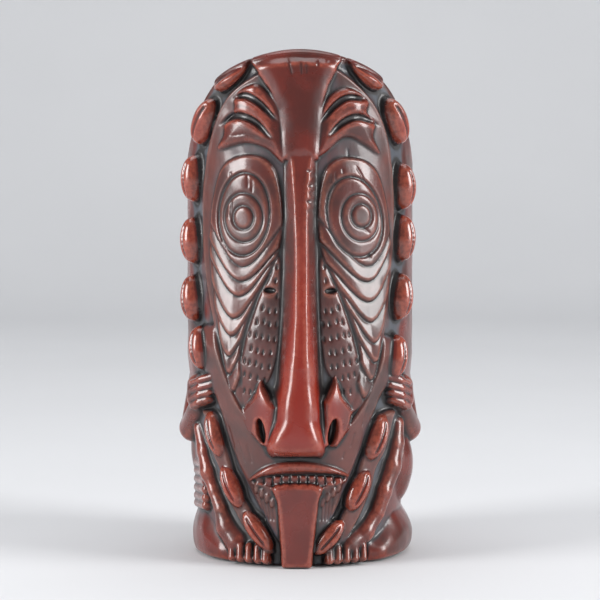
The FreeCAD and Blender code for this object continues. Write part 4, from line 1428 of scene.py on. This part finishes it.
@dataclass(frozen=True)
class Limbs:
    """Arm, leg and foot of the crouching figure on one side.

    Args:
        name: left or right.
        sign: -1 or 1.
        fist: Place of the fist, seen from the front.
        leg: Points down the leg to the instep, seen from the front: across, up, depth off the wall, radius.
        hip: Angle, radius, height, radius and half length of the folded thigh.
        toes: Places of the toes across the front.
        elbow: Angle, radius and height of the elbow.
        shoulder: Angle, radius and height of the shoulder.
        upper_arm: Radius of the upper arm at the elbow and at the shoulder.
        forearm: Radius of the forearm at the elbow and at the wrist.
        toe: Radius of a toe at its root and at its tip.
        finger: Radius of a finger at its tip, its bend and its knuckle.
        finger_gap: Spacing of the fingers.
    """

    name: str
    sign: int
    fist: tuple[float, float]
    leg: Sequence[tuple[float, float, float, float]]
    hip: tuple[float, ...]
    toes: Sequence[float]
    elbow: Spot = (85.0, 40.4, 46.8)
    shoulder: Spot = (126.0, 37.5, 90.0)
    upper_arm: tuple[float, float] = (5.0, 8.0)
    forearm: tuple[float, float] = (5.5, 3.9)
    toe: tuple[float, float] = (1.45, 1.7)
    finger: tuple[float, float, float] = (1.45, 1.6, 1.5)
    finger_gap: float = 2.9

    def point(self, angle: float, radius: float, z: float) -> Array:
        """Place in space of an angle, a radius and a height on this side."""
        return turned(self.sign * angle, radius, z)

    @staticmethod
    def seen(relief: Relief, x: float, z: float, h: float) -> Array:
        """Point on the front that is seen at x and z and stands h off the wall."""
        r = float(relief.cup.radius(np.array(z))) + h
        return np.array([x, -math.sqrt(r * r - x * x), z])

    def carve(self, relief: Relief) -> None:
        """Lays the limbs on the cup from the back to the front.

        Args:
            relief: The relief.
        """
        self.carve_arm(relief)
        self.carve_leg(relief)
        self.carve_foot(relief)
        self.carve_fist(relief)

    def carve_arm(self, relief: Relief) -> None:
        """Upper arm and forearm, joined at the elbow.

        Args:
            relief: The relief.
        """
        elbow, shoulder = self.point(*self.elbow), self.point(*self.shoulder)
        wrist = self.point(self.fist_angle(relief) + 6, 41.0, self.fist[1] - 4)
        for start, end, radii, middle, half, up, node, soften in (
                (elbow, shoulder, self.upper_arm, 104, 40, (38, 104), "_upper_arm", 1.5),
                (elbow, wrist, self.forearm, 74, 32, (36, 74), "_forearm", 0.8)):
            relief.cast(lambda p: round_cone(p, start, end, *radii), (self.sign * middle, half), up, 60,
                        self.name + node, soften)

    def carve_leg(self, relief: Relief) -> None:
        """Folded thigh and the shin in front of it.

        Args:
            relief: The relief.
        """
        angle, r, z, radius, half = self.hip
        centre = self.point(angle, r, z)
        relief.cast(lambda p: spindle(p, centre, UP, half, radius), (self.sign * angle, 34),
                    (z - half, z + half), 56, self.name + "_haunch", 0.8)
        shin = self.chain(relief, self.leg[:5])
        relief.cast(shin, (self.sign * 52, 34), (14, 60), 58, self.name + "_shin", 0.8)

    def chain(self, relief: Relief, leg: Rows) -> Callable[[Array], Array]:
        """Builds a solid through points of the leg, swelling and narrowing between them.

        Args:
            relief: The relief.
            leg: Across, up, depth off the wall and radius of every point.

        Returns:
            The function that measures it.
        """
        joints = [(self.seen(relief, x, z, h), r) for x, z, h, r in leg]

        def solid(p: Array) -> Array:
            """Distance to the chain.

            Args:
                p: Points in space.

            Returns:
                The distances.
            """
            gap = np.full(len(p), np.inf)
            for (a, ra), (b, rb) in zip(joints, joints[1:]):
                gap = melt(gap, round_cone(p, a, b, ra, rb), 1.2)
            return gap

        return solid

    def carve_foot(self, relief: Relief) -> None:
        """Instep and five toes.

        Args:
            relief: The relief.
        """
        instep = self.chain(relief, self.leg[4:])
        toes = [(self.seen(relief, x, 6.8, 1.4), self.seen(relief, x, 2.2, 2.3)) for x in self.toes]

        def foot(p: Array) -> Array:
            """Distance to the instep melted into the toes.

            Args:
                p: Points in space.

            Returns:
                The distances.
            """
            gap = instep(p)
            for start, end in toes:
                gap = melt(gap, round_cone(p, start, end, *self.toe), 0.6)
            return gap

        relief.cast(foot, (self.sign * 30, 34), (-1, 24), 52, self.name + "_foot", 0.6)

    def fist_angle(self, relief: Relief) -> float:
        """Angle of the fist round the cup, in degrees, without its sign."""
        wall = float(relief.cup.radius(np.array(self.fist[1])))
        return math.degrees(math.asin(abs(self.fist[0]) / (wall + 4.4)))

    def carve_fist(self, relief: Relief) -> None:
        """Four fingers side by side.

        Args:
            relief: The relief.
        """
        z = self.fist[1]
        angle = self.fist_angle(relief)
        middle = self.sign * angle
        low, high = (self.point(angle + 6.5, 41.6, z + dz) for dz in (-2.6, 2.2))
        relief.cast(lambda p: round_cone(p, low, high, 4.9, 4.6), (middle, 22), (z - 12, z + 12), 54,
                    self.name + "_fist", 0.6)
        r_tip, r_bend, r_knuckle = self.finger
        for i in range(4):
            finger_z = z + (1.5 - i) * self.finger_gap
            tip = self.point(angle - 9 + i, 43.0, finger_z + 2.2)
            bend = self.point(angle - 3 + i / 2, 45.2, finger_z + 0.8)
            knuckle = self.point(angle + 4.5, 45.0, finger_z - 1.0)
            for bone in ((tip, bend, r_tip, r_bend), (bend, knuckle, r_bend, r_knuckle)):
                relief.cast(lambda p: round_cone(p, *bone), (middle, 17), (finger_z - 6, finger_z + 6), 54,
                            self.name + "_fist")


LEFT_LIMBS = Limbs(
    "left", -1, fist=(-38.9, 62.6),
    leg=((-37.2, 48, -0.6, 2.8), (-35.4, 40, -0.2, 3.1), (-33.6, 32.5, 0.0, 3.7), (-31.4, 26, 0.2, 2.8),
         (-28.9, 19.4, 0.4, 3.1), (-26.4, 13, -1.2, 4.8), (-22.6, 8, -2.2, 5.6)),
    hip=(97, 32.5, 39, 9.4, 19), toes=(-25.0, -22.0, -18.9, -15.6, -12.5))
RIGHT_LIMBS = Limbs(
    "right", 1, fist=(39.2, 62.4),
    leg=((35.6, 50, -1.0, 3.4), (34.9, 43, -0.6, 4.0), (33.4, 35, -0.2, 4.4), (30.6, 26, 0.2, 3.8),
         (28.0, 18, 0.2, 3.4), (23.6, 11.4, -0.8, 3.8), (17.6, 7.4, -1.8, 4.8)),
    hip=(80, 32.5, 34, 10.8, 17.5), toes=(10.8, 13.9, 17.1, 20.2, 23.2))


@dataclass(frozen=True)
class Beads:
    """Column of rolled beads on the left hip.

    Args:
        heights: Height of every roll.
        back: Angle and radius of a roll's rear end.
        front: Angle and radius of its front end.
        slope: How far either end is off the roll's height.
        radii: Radius of the rear and the front end.
    """

    heights: Sequence[float] = (34.4, 31.2, 28.0, 24.8, 21.6, 18.8)
    back: tuple[float, float] = (-84, 38.6)
    front: tuple[float, float] = (-62, 39.6)
    slope: float = 0.6
    radii: tuple[float, float] = (2.0, 1.9)

    def carve(self, relief: Relief) -> None:
        """Lays the rolls one above the other.

        Args:
            relief: The relief.
        """
        for z in self.heights:
            start, end = turned(*self.back, z - self.slope), turned(*self.front, z + self.slope)
            relief.cast(lambda p: round_cone(p, start, end, *self.radii), (-74, 20), (z - 5, z + 6), 50,
                        "left_hip_beads")


@dataclass(frozen=True)
class Base:
    """Rounded ledge on which the figure crouches.

    Args:
        begin: Angle off the front at which it starts, in degrees.
        top: Height of its upper edge.
        swell: How far it stands out.
        fullest: Share of its height at which it stands out most.
    """

    begin: float = 43.0
    top: float = 17.0
    swell: float = 3.3
    fullest: float = 0.42

    def carve(self, relief: Relief) -> None:
        """Swells the foot of the cup from one foot past the back to the other.

        Args:
            relief: The relief.
        """
        off_front = np.degrees(np.abs((relief.angle + math.pi) % (2 * math.pi) - math.pi))
        top = self.top * (0.5 + 0.5 * ease((off_front - self.begin) / 24))
        share = np.clip(relief.z / top, 0, 1)
        off = share - self.fullest
        under = np.sqrt(np.clip(1 - np.clip(-off / self.fullest, 0, 1) ** 2.6, 0, 1))
        over = np.cos(0.5 * math.pi * np.clip(off / (1 - self.fullest), 0, 1)) ** 1.2
        bulge = self.swell * np.where(off < 0, under, over)
        side = np.sin(relief.angle)
        height = bulge * ease((off_front - self.begin + 8) / 14) * (1 + 0.3 * side)
        at = np.flatnonzero((height > 0.15) & (relief.z < self.top) & (off_front > self.begin - 3))
        higher = at[height.flat[at] > relief.h.flat[at]]
        relief.h.flat[higher] = height.flat[higher]
        relief.claim(higher, "base_ring")


@dataclass(frozen=True)
class BackFigure:
    """Bent back and head of the crouching figure.

    Args:
        torso: Depth, height, radius and half length of the back.
        head: Depth, height, radius and half length of the head.
        spine: Lowest and highest height of the furrow down the back.
        locks: Number of furrows in the hair.
        hair_side: Angle off the middle of the outermost furrow, in degrees.
        hair_draw: Share of its angle at which a furrow ends.
    """

    torso: tuple[float, ...] = (10, 62, 38, 64)
    head: tuple[float, ...] = (30.5, 117, 17.5, 22)
    spine: tuple[float, float] = (16.0, 96.0)
    locks: int = 7
    hair_side: float = 24.0
    hair_draw: float = 0.55

    def carve(self, relief: Relief) -> None:
        """Lays the back and the head and cuts the spine and the hair.

        Args:
            relief: The relief.
        """
        y, z, radius, half = self.torso
        middle = np.array([0.0, y, z])
        relief.cast(lambda p: spindle(p, middle, UP, half, radius), (180, 82), (0, z + half), 62,
                    "figure_back", 1.5)
        self.cut(relief, [(0, height) for height in self.spine], width=2.2, depth=1.5)
        y, z, radius, half = self.head
        crown = np.array([0.0, y, z])
        relief.cast(lambda p: spindle(p, crown, UP, half, radius), (180, 42), (z - half, z + half), 62,
                    "figure_head", 1.0)
        for swing in np.linspace(-self.hair_side, self.hair_side, self.locks):
            end = self.hair_draw * swing
            self.cut(relief, [(end, z - half + 3), (swing, z), (end, z + half - 3)], width=1.1, depth=0.9)

    @staticmethod
    def cut(relief: Relief, line: Points, width: float, depth: float) -> None:
        """Cuts a soft groove at the back.

        Args:
            relief: The relief.
            line: Degrees from the middle of the back, and heights, along the groove.
            width: Half width at the surface, in mm.
            depth: Depth in the middle.
        """
        curve = flowing([(relief.cup.unrolled(angle), z) for angle, z in line])
        at = np.flatnonzero(np.cos(relief.angle) < -0.5)
        across = (relief.angle.flat[at] - math.pi) * relief.cup.body_r
        z = relief.z.flat[at]
        near = (z > curve[:, 1].min() - width) & (z < curve[:, 1].max() + width)
        at, across, z = at[near], across[near], z[near]
        gap, along = line_gap(across, z, curve)
        ends = ease(along / 0.15) * ease((1 - along) / 0.15)
        relief.h.flat[at] -= depth * ends * (1 - ease(gap / width))


# ---- finishes


def linear(code: str) -> tuple[float, float, float, float]:
    """Turns an sRGB hex colour into linear light.

    Args:
        code: The colour, such as #ffffff.

    Returns:
        Red, green, blue and alpha.
    """
    parts = [int(code[i:i + 2], 16) / 255 for i in (1, 3, 5)]
    r, g, b = (p / 12.92 if p <= 0.04045 else ((p + 0.055) / 1.055) ** 2.4 for p in parts)
    return r, g, b, 1.0


class Graph:
    """A material's node tree, built one node at a time."""

    def __init__(self, name: str) -> None:
        """Starts an empty material.

        Args:
            name: Name of the finish.
        """
        self.material = bpy.data.materials.new(name)
        self.material.use_nodes = True
        self.tree = self.material.node_tree
        self.tree.nodes.clear()

    def add(self, kind: str, settings: dict | None = None, inputs: dict | None = None) -> bpy.types.Node:
        """Adds a node.

        Args:
            kind: Type of the node.
            settings: Its properties.
            inputs: Values or sockets for its inputs, by name or number.

        Returns:
            The node.
        """
        node = self.tree.nodes.new(kind)
        for name, value in (settings or {}).items():
            setattr(node, name, value)
        for key, value in (inputs or {}).items():
            if isinstance(value, Socket):
                self.tree.links.new(value, node.inputs[key])
            else:
                node.inputs[key].default_value = value
        return node

    def noise(self, size_mm: float, detail: float, stretch: Spot = (1, 1, 1)) -> Socket:
        """Adds cloudy noise.

        Args:
            size_mm: Rough width of the clouds, in mm.
            detail: Number of finer layers in them.
            stretch: Scale along each axis; below 1 draws the clouds out.

        Returns:
            Its output, about 0.5 in the middle.
        """
        place = self.add("ShaderNodeTexCoord").outputs["Object"]
        mapped = self.add("ShaderNodeMapping", None, {"Vector": place, "Scale": stretch})
        node = self.add("ShaderNodeTexNoise", None, {"Vector": mapped.outputs[0], "Scale": 1 / (MM * size_mm),
                                                     "Detail": detail, "Roughness": 0.55})
        return node.outputs["Fac"]

    def span(self, value: Socket, low: float, high: float, to_low: float = 0.0,
             to_high: float = 1.0) -> Socket:
        """Stretches a range of numbers smoothly onto another.

        Args:
            value: The numbers.
            low: Number that becomes to_low.
            high: Number that becomes to_high.
            to_low: Lowest result.
            to_high: Highest result.

        Returns:
            The output.
        """
        return self.add("ShaderNodeMapRange", {"interpolation_type": "SMOOTHSTEP"},
                        {"Value": value, "From Min": low, "From Max": high, "To Min": to_low,
                         "To Max": to_high}).outputs["Result"]

    def math(self, operation: str, a: object, b: object) -> Socket:
        """One sum on two numbers or sockets."""
        return self.add("ShaderNodeMath", {"operation": operation}, {0: a, 1: b}).outputs[0]

    def mix(self, share: object, a: object, b: object) -> Socket:
        """Blend of two colours."""
        return self.add("ShaderNodeMix", {"data_type": "RGBA"}, {0: share, 6: a, 7: b}).outputs[2]

    def attribute(self, layer: Layer) -> Socket:
        """What is kept for every point under a layer."""
        return self.add("ShaderNodeAttribute", {"attribute_name": layer.value}).outputs["Fac"]

    def finished(self, looks: dict) -> Finish:
        """Ends the material with a shader of the given looks.

        Args:
            looks: Values or sockets for the shader's inputs.

        Returns:
            The material.
        """
        shader = self.add("ShaderNodeBsdfPrincipled", None, looks)
        self.add("ShaderNodeOutputMaterial", None, {"Surface": shader.outputs[0]})
        return self.material


@dataclass(frozen=True)
class Glaze:
    """Red-brown glaze over earthenware, rubbed with a blue-grey stain that stays in the hollows, with painted
    shade in the hollows and creases.

    The eye sees warm, semi-gloss clay on everything that stands proud, and dull dark stain and painted shade
    beside it.

    Args:
        name: What the finish is.
        body: Colour of the glaze on open surfaces.
        deep: Darker clouds in it.
        proud: Brighter glaze on what stands furthest out.
        worn: Colour of rubbed edges.
        hollow_stain_and_shade: Colour of the blue-grey stain in the hollows, darkened there as painted shade.
        crease_shade: Colour of the painted shade in the tight creases between forms.
        cover: How much stain there is even on open surfaces.
        stain_and_shade_grip: How readily hollows take the stain and painted shade, and creases their painted
            shade.
        rough: Roughness of the glaze.
        coat: Strength of the clear coat.
    """

    name: str
    body: str
    deep: str
    proud: str
    worn: str
    hollow_stain_and_shade: str
    crease_shade: str
    cover: float
    stain_and_shade_grip: float
    rough: float
    coat: float

    # Widths in mm of the clouds in the glaze, of the specks that rubbing leaves, and of the streaks by which
    # the stain and the painted shade wander, which are drawn out down the mug.
    CLOUD, SPECK, STREAK, RUN = 14.0, 1.6, 2.4, (1.0, 1.0, 0.16)
    # How strongly wide hollows call the stain and painted shade, and tight creases the painted crease shade.
    POOLING, CREASING = 0.9, 2.6
    # Height off the wall over which the brighter glaze comes in, in mm.
    PROUD_FROM, PROUD_FULL = 3.8, 7.5
    # Earthenware glaze bends light about as much as window glass.
    IOR = 1.52

    def stain_and_shade_masks(self, g: Graph, uneven: Socket) -> tuple[Socket, ...]:
        """Finds where the stain stays and where shade is painted.

        Args:
            g: The material's graph.
            uneven: Streaks by which the stain and the painted shade wander.

        Returns:
            Stain with painted shade pooled in wide hollows, painted shade in tight creases, and edges that
            are rubbed bare.
        """
        fine = g.attribute(Layer.FINE)
        # Blue-grey stain in the wide hollows, deepened there as painted shade.
        hollow = g.math("MULTIPLY", g.attribute(Layer.BROAD), -self.POOLING * self.stain_and_shade_grip)
        pooled_stain_and_shade = g.span(g.math("ADD", hollow, g.math("ADD", uneven, self.cover)), 0.1, 1.0)
        # Painted shade: the tight creases between forms are darkened, where shade falls.
        tight = g.math("MULTIPLY", fine, -self.CREASING * self.stain_and_shade_grip)
        crease_shade_share = g.span(g.math("ADD", tight, uneven), 0.06, 0.95)
        return pooled_stain_and_shade, crease_shade_share, g.span(fine, 0.05, 0.3)

    def material(self) -> Finish:
        """Builds the material.

        Returns:
            The material.
        """
        g = Graph(self.name)
        clouds = g.noise(self.CLOUD, 4.0)
        specks = g.noise(self.SPECK, 5.0)
        streaks = g.noise(self.STREAK, 4.0, self.RUN)
        uneven = g.math("MULTIPLY", g.math("SUBTRACT", streaks, 0.5), 0.5)
        pooled_stain_and_shade, crease_shade_share, edge = self.stain_and_shade_masks(g, uneven)
        rubbed = g.math("MULTIPLY", g.math("MULTIPLY", edge, g.span(specks, 0.3, 0.65, 0.3, 1.0)), 0.6)
        colour = g.mix(g.span(clouds, 0.33, 0.66), linear(self.body), linear(self.deep))
        risen = g.span(g.attribute(Layer.RISE), self.PROUD_FROM, self.PROUD_FULL)
        colour = g.mix(risen, colour, linear(self.proud))
        # Rubbed edges, then the stain with painted shade in the hollows, then painted shade in the tight
        # creases.
        for share, tone in ((rubbed, self.worn), (pooled_stain_and_shade, self.hollow_stain_and_shade), (crease_shade_share, self.crease_shade)):
            colour = g.mix(share, colour, linear(tone))
        dulled = g.math("MULTIPLY", g.math("MAXIMUM", pooled_stain_and_shade, crease_shade_share), 0.14)
        rough = g.math("ADD", g.span(clouds, 0.3, 0.7, self.rough - 0.04, self.rough + 0.06), dulled)
        grain = g.math("ADD", g.math("MULTIPLY", specks, 0.5), g.math("MULTIPLY", streaks, 0.9))
        bump = g.add("ShaderNodeBump", None, {"Strength": 0.22, "Distance": 0.0004, "Height": grain})
        return g.finished({"Base Color": colour, "Roughness": rough, "IOR": self.IOR,
                           "Coat Weight": self.coat, "Coat Roughness": 0.12, "Coat IOR": 1.5,
                           "Normal": bump.outputs[0]})


# One glaze for every material slot of the record. The body's colour stays much the same; what differs is how
# much stain and painted shade lie in the hollows and creases, and how glossy it is.
FINISHES = {
    "glazed_wall": Glaze(
        "oxblood glazed earthenware wall", body="#6a2118", deep="#43180f", proud="#7a2618", worn="#984634",
        hollow_stain_and_shade="#44464c", crease_shade="#1f1a1b", cover=0.0, stain_and_shade_grip=0.9, rough=0.30, coat=0.35),
    "dark_ground": Glaze(
        "stained carved ground", body="#62312a", deep="#442825", proud="#6a2e26", worn="#7c554b",
        hollow_stain_and_shade="#464a52", crease_shade="#201d1e", cover=0.14, stain_and_shade_grip=0.9, rough=0.35, coat=0.35),
    "red_relief": Glaze(
        "bright oxblood relief", body="#62241c", deep="#421812", proud="#7e2013", worn="#a45240",
        hollow_stain_and_shade="#302527", crease_shade="#1a1213", cover=-0.12, stain_and_shade_grip=0.9, rough=0.26, coat=0.45),
    "worn_relief": Glaze(
        "rubbed oxblood relief", body="#5a2721", deep="#3d1f1c", proud="#6a2c24", worn="#9a5c4b",
        hollow_stain_and_shade="#383032", crease_shade="#1b1819", cover=0.0, stain_and_shade_grip=1.0, rough=0.31, coat=0.5),
    "shell_glaze": Glaze(
        "glossy shell glaze", body="#6e2016", deep="#43160f", proud="#862815", worn="#b0563f",
        hollow_stain_and_shade="#2a2223", crease_shade="#151112", cover=-0.12, stain_and_shade_grip=0.9, rough=0.20, coat=0.6),
    "figure_glaze": Glaze(
        "oxblood figure glaze", body="#652118", deep="#42180f", proud="#7a2416", worn="#a0523f",
        hollow_stain_and_shade="#332c2d", crease_shade="#1a1516", cover=0.0, stain_and_shade_grip=1.0, rough=0.28, coat=0.5),
}


@dataclass(frozen=True)
class Inside:
    """Plain glossy glaze inside the cup: the eye sees an even wet red with darker clouds.

    Args:
        name: What the finish is.
        body: Colour of the glaze.
        pool: Colour of the darker clouds, where it has collected.
    """

    name: str = "clear-glazed earthenware inside"
    body: str = "#5f241b"
    pool: str = "#3a1612"

    def material(self) -> Finish:
        """Builds the material."""
        g = Graph(self.name)
        clouds = g.noise(9.0, 4.0)
        pores = g.noise(0.9, 2.0)
        colour = g.mix(g.span(clouds, 0.35, 0.7), linear(self.body), linear(self.pool))
        bump = g.add("ShaderNodeBump", None, {"Strength": 0.15, "Distance": 0.0003, "Height": pores})
        rough = g.span(clouds, 0.3, 0.7, 0.2, 0.32)
        return g.finished({"Base Color": colour, "Roughness": rough, "IOR": Glaze.IOR, "Coat Weight": 0.3,
                           "Coat Roughness": 0.1, "Normal": bump.outputs[0]})


# ---- the plain cup


@dataclass(frozen=True)
class CupCore:
    """The part of the cup wall that isn't carved: lip, inside, rim of the foot and hidden skin.

    Args:
        lip_steps: Steps of each of the lip's two roundings.
        inside_steps: Steps down the inside.
        skin_steps: Steps up the hidden skin behind the carving.
        skin: How far the hidden skin lies behind the wall's outside.
        short: How far below the lip the hidden skin ends.
        glazed_steps: Steps of the lip that are still glazed as the outside is.
    """

    lip_steps: int = 7
    inside_steps: int = 13
    skin_steps: int = 8
    skin: float = 1.2
    short: float = 0.5
    glazed_steps: int = 10

    def mesh(self, cup: Cup, turn: Array, proud: Array) -> tuple[Array, Array, Array, Array]:
        """Builds the skin, one loop per direction.

        Args:
            cup: The plain cup.
            turn: Directions round the cup, in radians.
            proud: How far the carving stands out where it meets the lip.

        Returns:
            Corners in metres, quads, which quads are shaded smooth, and which have the inside's glaze.
        """
        rounding = cup.lip_profile(turn, self.lip_steps)
        fades = np.linspace(1, 0, len(rounding)) ** 1.5
        loop = [(r + proud * fade, z) for (r, z), fade in zip(rounding, fades)]
        top_z, last_z = loop[0][1], loop[-1][1]
        for share in np.linspace(0, 1, self.inside_steps + 1)[1:]:
            z = last_z + share * (cup.floor_z + cup.cove - last_z)
            loop.append((cup.radius(z) - cup.wall, z))
        level = np.zeros_like(turn)
        loop += [(level + cup.foot_r - cup.wall, level), (level + cup.foot_r - self.skin, level)]
        for share in np.linspace(0, 1, self.skin_steps):
            z = share * (top_z - self.short)
            loop.append((cup.radius(z) - self.skin, z))
        radius, height = (np.stack(rows) for rows in zip(*loop))
        corners = PatchMaker.place(np.broadcast_to(turn, radius.shape), radius, height)
        steps, cols = radius.shape
        k, i = np.meshgrid(np.arange(steps), np.arange(cols), indexing="ij")
        after, right = (k + 1) % steps, (i + 1) % cols
        faces = np.stack([k * cols + i, k * cols + right, after * cols + right, after * cols + i], -1)
        seen = (k < len(rounding) + self.inside_steps - 1).ravel()
        inside = (k >= self.glazed_steps).ravel()
        return corners, faces.reshape(-1, 4), seen, inside


@dataclass(frozen=True)
class CupFloor:
    """Thick floor whose edge curves up into the wall.

    Args:
        recess: How far its underside is off the table in the middle.
        cove_steps: Points of the curve.
    """

    recess: float = 0.25
    cove_steps: int = 9

    def build(self, cup: Cup) -> Piece:
        """Turns the floor's section round the axis.

        Args:
            cup: The plain cup.

        Returns:
            The floor.
        """
        r, c, z = cup.foot_r - cup.wall, cup.cove, cup.floor_z
        cove = [(r - c + c * math.sin(a), z + c * (1 - math.cos(a)))
                for a in np.linspace(math.pi / 2, 0, self.cove_steps)]
        under = [(0, self.recess), (r * 0.6, self.recess), (r - 3, 0.6 * self.recess), (r, 0)]
        return revolved("cup_floor_glazed", [*under, *cove, (r * 0.4, z), (0, z)])


# ---- the room


@dataclass(frozen=True)
class Studio:
    """Pale swept paper, soft lights on both sides and above, and a long lens.

    Args:
        lens: Focal length, in mm.
        distance: From the camera to the mug's axis, in metres.
        height: Height of the camera.
        pitch: Degrees by which the camera looks down.
        wall_y: Depth at which the paper starts to bend up.
        bend: Radius of its bend.
        side: Half its width.
        front: How far it reaches in front of the mug.
        top: Its height behind the mug.
        glow: Strength of the room's own light.
    """

    lens: float = 166.8
    distance: float = 1.05
    height: float = 0.1902
    pitch: float = 5.18
    wall_y: float = 0.9
    bend: float = 0.6
    side: float = 4.0
    front: float = 3.0
    top: float = 4.0
    glow: float = 0.3

    def paper(self) -> None:
        """Lays the paper that sweeps from the floor up to the wall."""
        under = -0.3 * MM
        profile = [(y, under) for y in (-self.front, -1.0, 0.0, 0.4, self.wall_y)]
        profile += [(self.wall_y + self.bend * math.sin(a), under + self.bend * (1 - math.cos(a)))
                    for a in np.linspace(0.1, math.pi / 2, 16)]
        profile += [(self.wall_y + self.bend, self.top)]
        corners = [(x, y, z) for y, z in profile for x in (-self.side, self.side)]
        faces = [(2 * i, 2 * i + 1, 2 * i + 3, 2 * i + 2) for i in range(len(profile) - 1)]
        paper = plain_mesh("paper_sweep", corners, faces)
        g = Graph("matt white paper")
        colour = g.mix(g.noise(160.0, 2.0), linear("#d8d9db"), linear("#d2d3d5"))
        paper.data.materials.append(g.finished({"Base Color": colour, "Roughness": 0.9, "IOR": 1.4}))

    def lamp(self, name: str, place: Spot, size: tuple[float, float], power: float, colour: str) -> None:
        """Hangs a rectangular soft light that faces the mug.

        Args:
            name: Name of the light.
            place: Where it hangs, in metres.
            size: Its width and height.
            power: Its power, in watts.
            colour: Its colour.
        """
        data = bpy.data.lights.new(name, "AREA")
        data.shape = "RECTANGLE"
        data.size, data.size_y = size
        data.energy = power
        data.color = linear(colour)[:3]
        lamp = bpy.data.objects.new(name, data)
        lamp.location = place
        from_mug = lamp.location - type(lamp.location)((0, 0, 0.1))
        lamp.rotation_euler = from_mug.to_track_quat("Z", "Y").to_euler()
        bpy.context.collection.objects.link(lamp)

    def light(self) -> None:
        """Sets the lights and the glow of the room."""
        self.lamp("left_softbox", (-1.15, -0.55, 0.5), (0.5, 0.9), 18, "#ffffff")
        self.lamp("right_softbox", (1.15, -0.45, 0.5), (0.5, 0.9), 18, "#ffffff")
        self.lamp("top_softbox", (0.0, 0.1, 1.4), (1.2, 1.0), 9, "#fdfdff")
        world = bpy.data.worlds.new("room")
        world.use_nodes = True
        background = world.node_tree.nodes["Background"].inputs
        background["Color"].default_value = linear("#eceef2")
        background["Strength"].default_value = self.glow
        bpy.context.scene.world = world
        bpy.context.scene.view_settings.view_transform = "Standard"

    def camera(self) -> None:
        """Puts the camera in front of the mug."""
        data = bpy.data.cameras.new("camera")
        data.lens = self.lens
        data.sensor_width = 36
        camera = bpy.data.objects.new("camera", data)
        camera.location = (0, -self.distance, self.height)
        camera.rotation_euler = (math.radians(90 - self.pitch), 0, 0)
        bpy.context.collection.objects.link(camera)
        bpy.context.scene.camera = camera


def carved(cup: Cup) -> Relief:
    """Carves the whole relief, from what lies deepest to what lies on top.

    Args:
        cup: The plain cup.

    Returns:
        The finished relief.
    """
    relief = Relief(cup)
    rows = (LEFT_SHELLS, RIGHT_SHELLS)
    for row in rows:
        row.hollow(relief)
    sides = (MaskSide(LEFT), MaskSide(RIGHT))
    for part in (Base(), BackFigure(), MaskGround()):
        part.carve(relief)
    for side in sides:
        side.carve_brow(relief)
    for part in (Crest(), Mouth(), Nose(), *sides, Beads(), LEFT_LIMBS, RIGHT_LIMBS):
        part.carve(relief)
        LOG.info("carved %s", type(part).__name__)
    for row in rows:
        row.raise_band(relief)
        row.carve(relief)
    relief.settle()
    return relief


class Mug:
    """All the pieces of the mug, each in place of its CAD node."""

    def __init__(self, relief: Relief) -> None:
        """Gets the finishes and the patches ready.

        Args:
            relief: The finished relief.
        """
        self.relief = relief
        self.maker = PatchMaker(relief)
        self.finishes = {name: glaze.material() for name, glaze in FINISHES.items()}
        self.inside = Inside().material()

    def floor(self) -> Piece:
        """Builds the floor in the inside's glaze."""
        piece = CupFloor().build(self.relief.cup)
        piece.data.materials.append(self.inside)
        return piece

    def carving(self, node: str, slot: str) -> Piece:
        """Builds one patch of the carving, and with the cup wall all that isn't carved.

        Args:
            node: CAD node that it stands for.
            slot: Its material slot.

        Returns:
            The piece.
        """
        corners, faces, smooth, used = self.maker.patch(node)
        facing = np.vstack([self.maker.facing[used], np.zeros((len(used), 3))])
        twice = np.concatenate([used, used])
        layers = {name: field[twice] for name, field in self.maker.fields.items()}
        inside = np.zeros(len(faces), bool)
        if node == "cup_wall":
            core, core_faces, core_smooth, core_inside = CupCore().mesh(
                self.relief.cup, self.relief.turn, self.relief.h[-1])
            faces = np.vstack([faces, core_faces + len(corners)])
            corners = np.vstack([corners, core])
            facing = np.vstack([facing, np.zeros_like(core)])
            smooth = np.concatenate([smooth, core_smooth])
            inside = np.concatenate([inside, core_inside])
            layers = {name: np.concatenate([field, np.zeros(len(core))]) for name, field in layers.items()}
        piece = new_mesh(node + "_glazed", corners, faces, smooth, facing, layers)
        piece.data.materials.append(self.finishes[slot])
        if inside.any():
            piece.data.materials.append(self.inside)
            piece.data.polygons.foreach_set("material_index", inside.astype(np.int32))
        return piece

    def build(self, slots: dict[str, str]) -> None:
        """Makes every piece and hides the CAD node that it stands for.

        Args:
            slots: Material slot of every CAD node.
        """
        for node, slot in slots.items():
            piece = self.floor() if node == "cup_floor" else self.carving(node, slot)
            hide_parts(node)
            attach(piece, "root")
            LOG.info("%s: %d faces", piece.name, len(piece.data.polygons))


def main() -> None:
    """Loads the frame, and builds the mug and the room."""
    logging.basicConfig(level=logging.INFO, format="%(message)s")
    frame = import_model()
    slots = {part["node"]: part["material_slot"] for part in frame["record"]["subparts"]}
    Mug(carved(Cup())).build(slots)
    studio = Studio()
    studio.paper()
    studio.light()
    studio.camera()


if __name__ == "__main__":
    main()
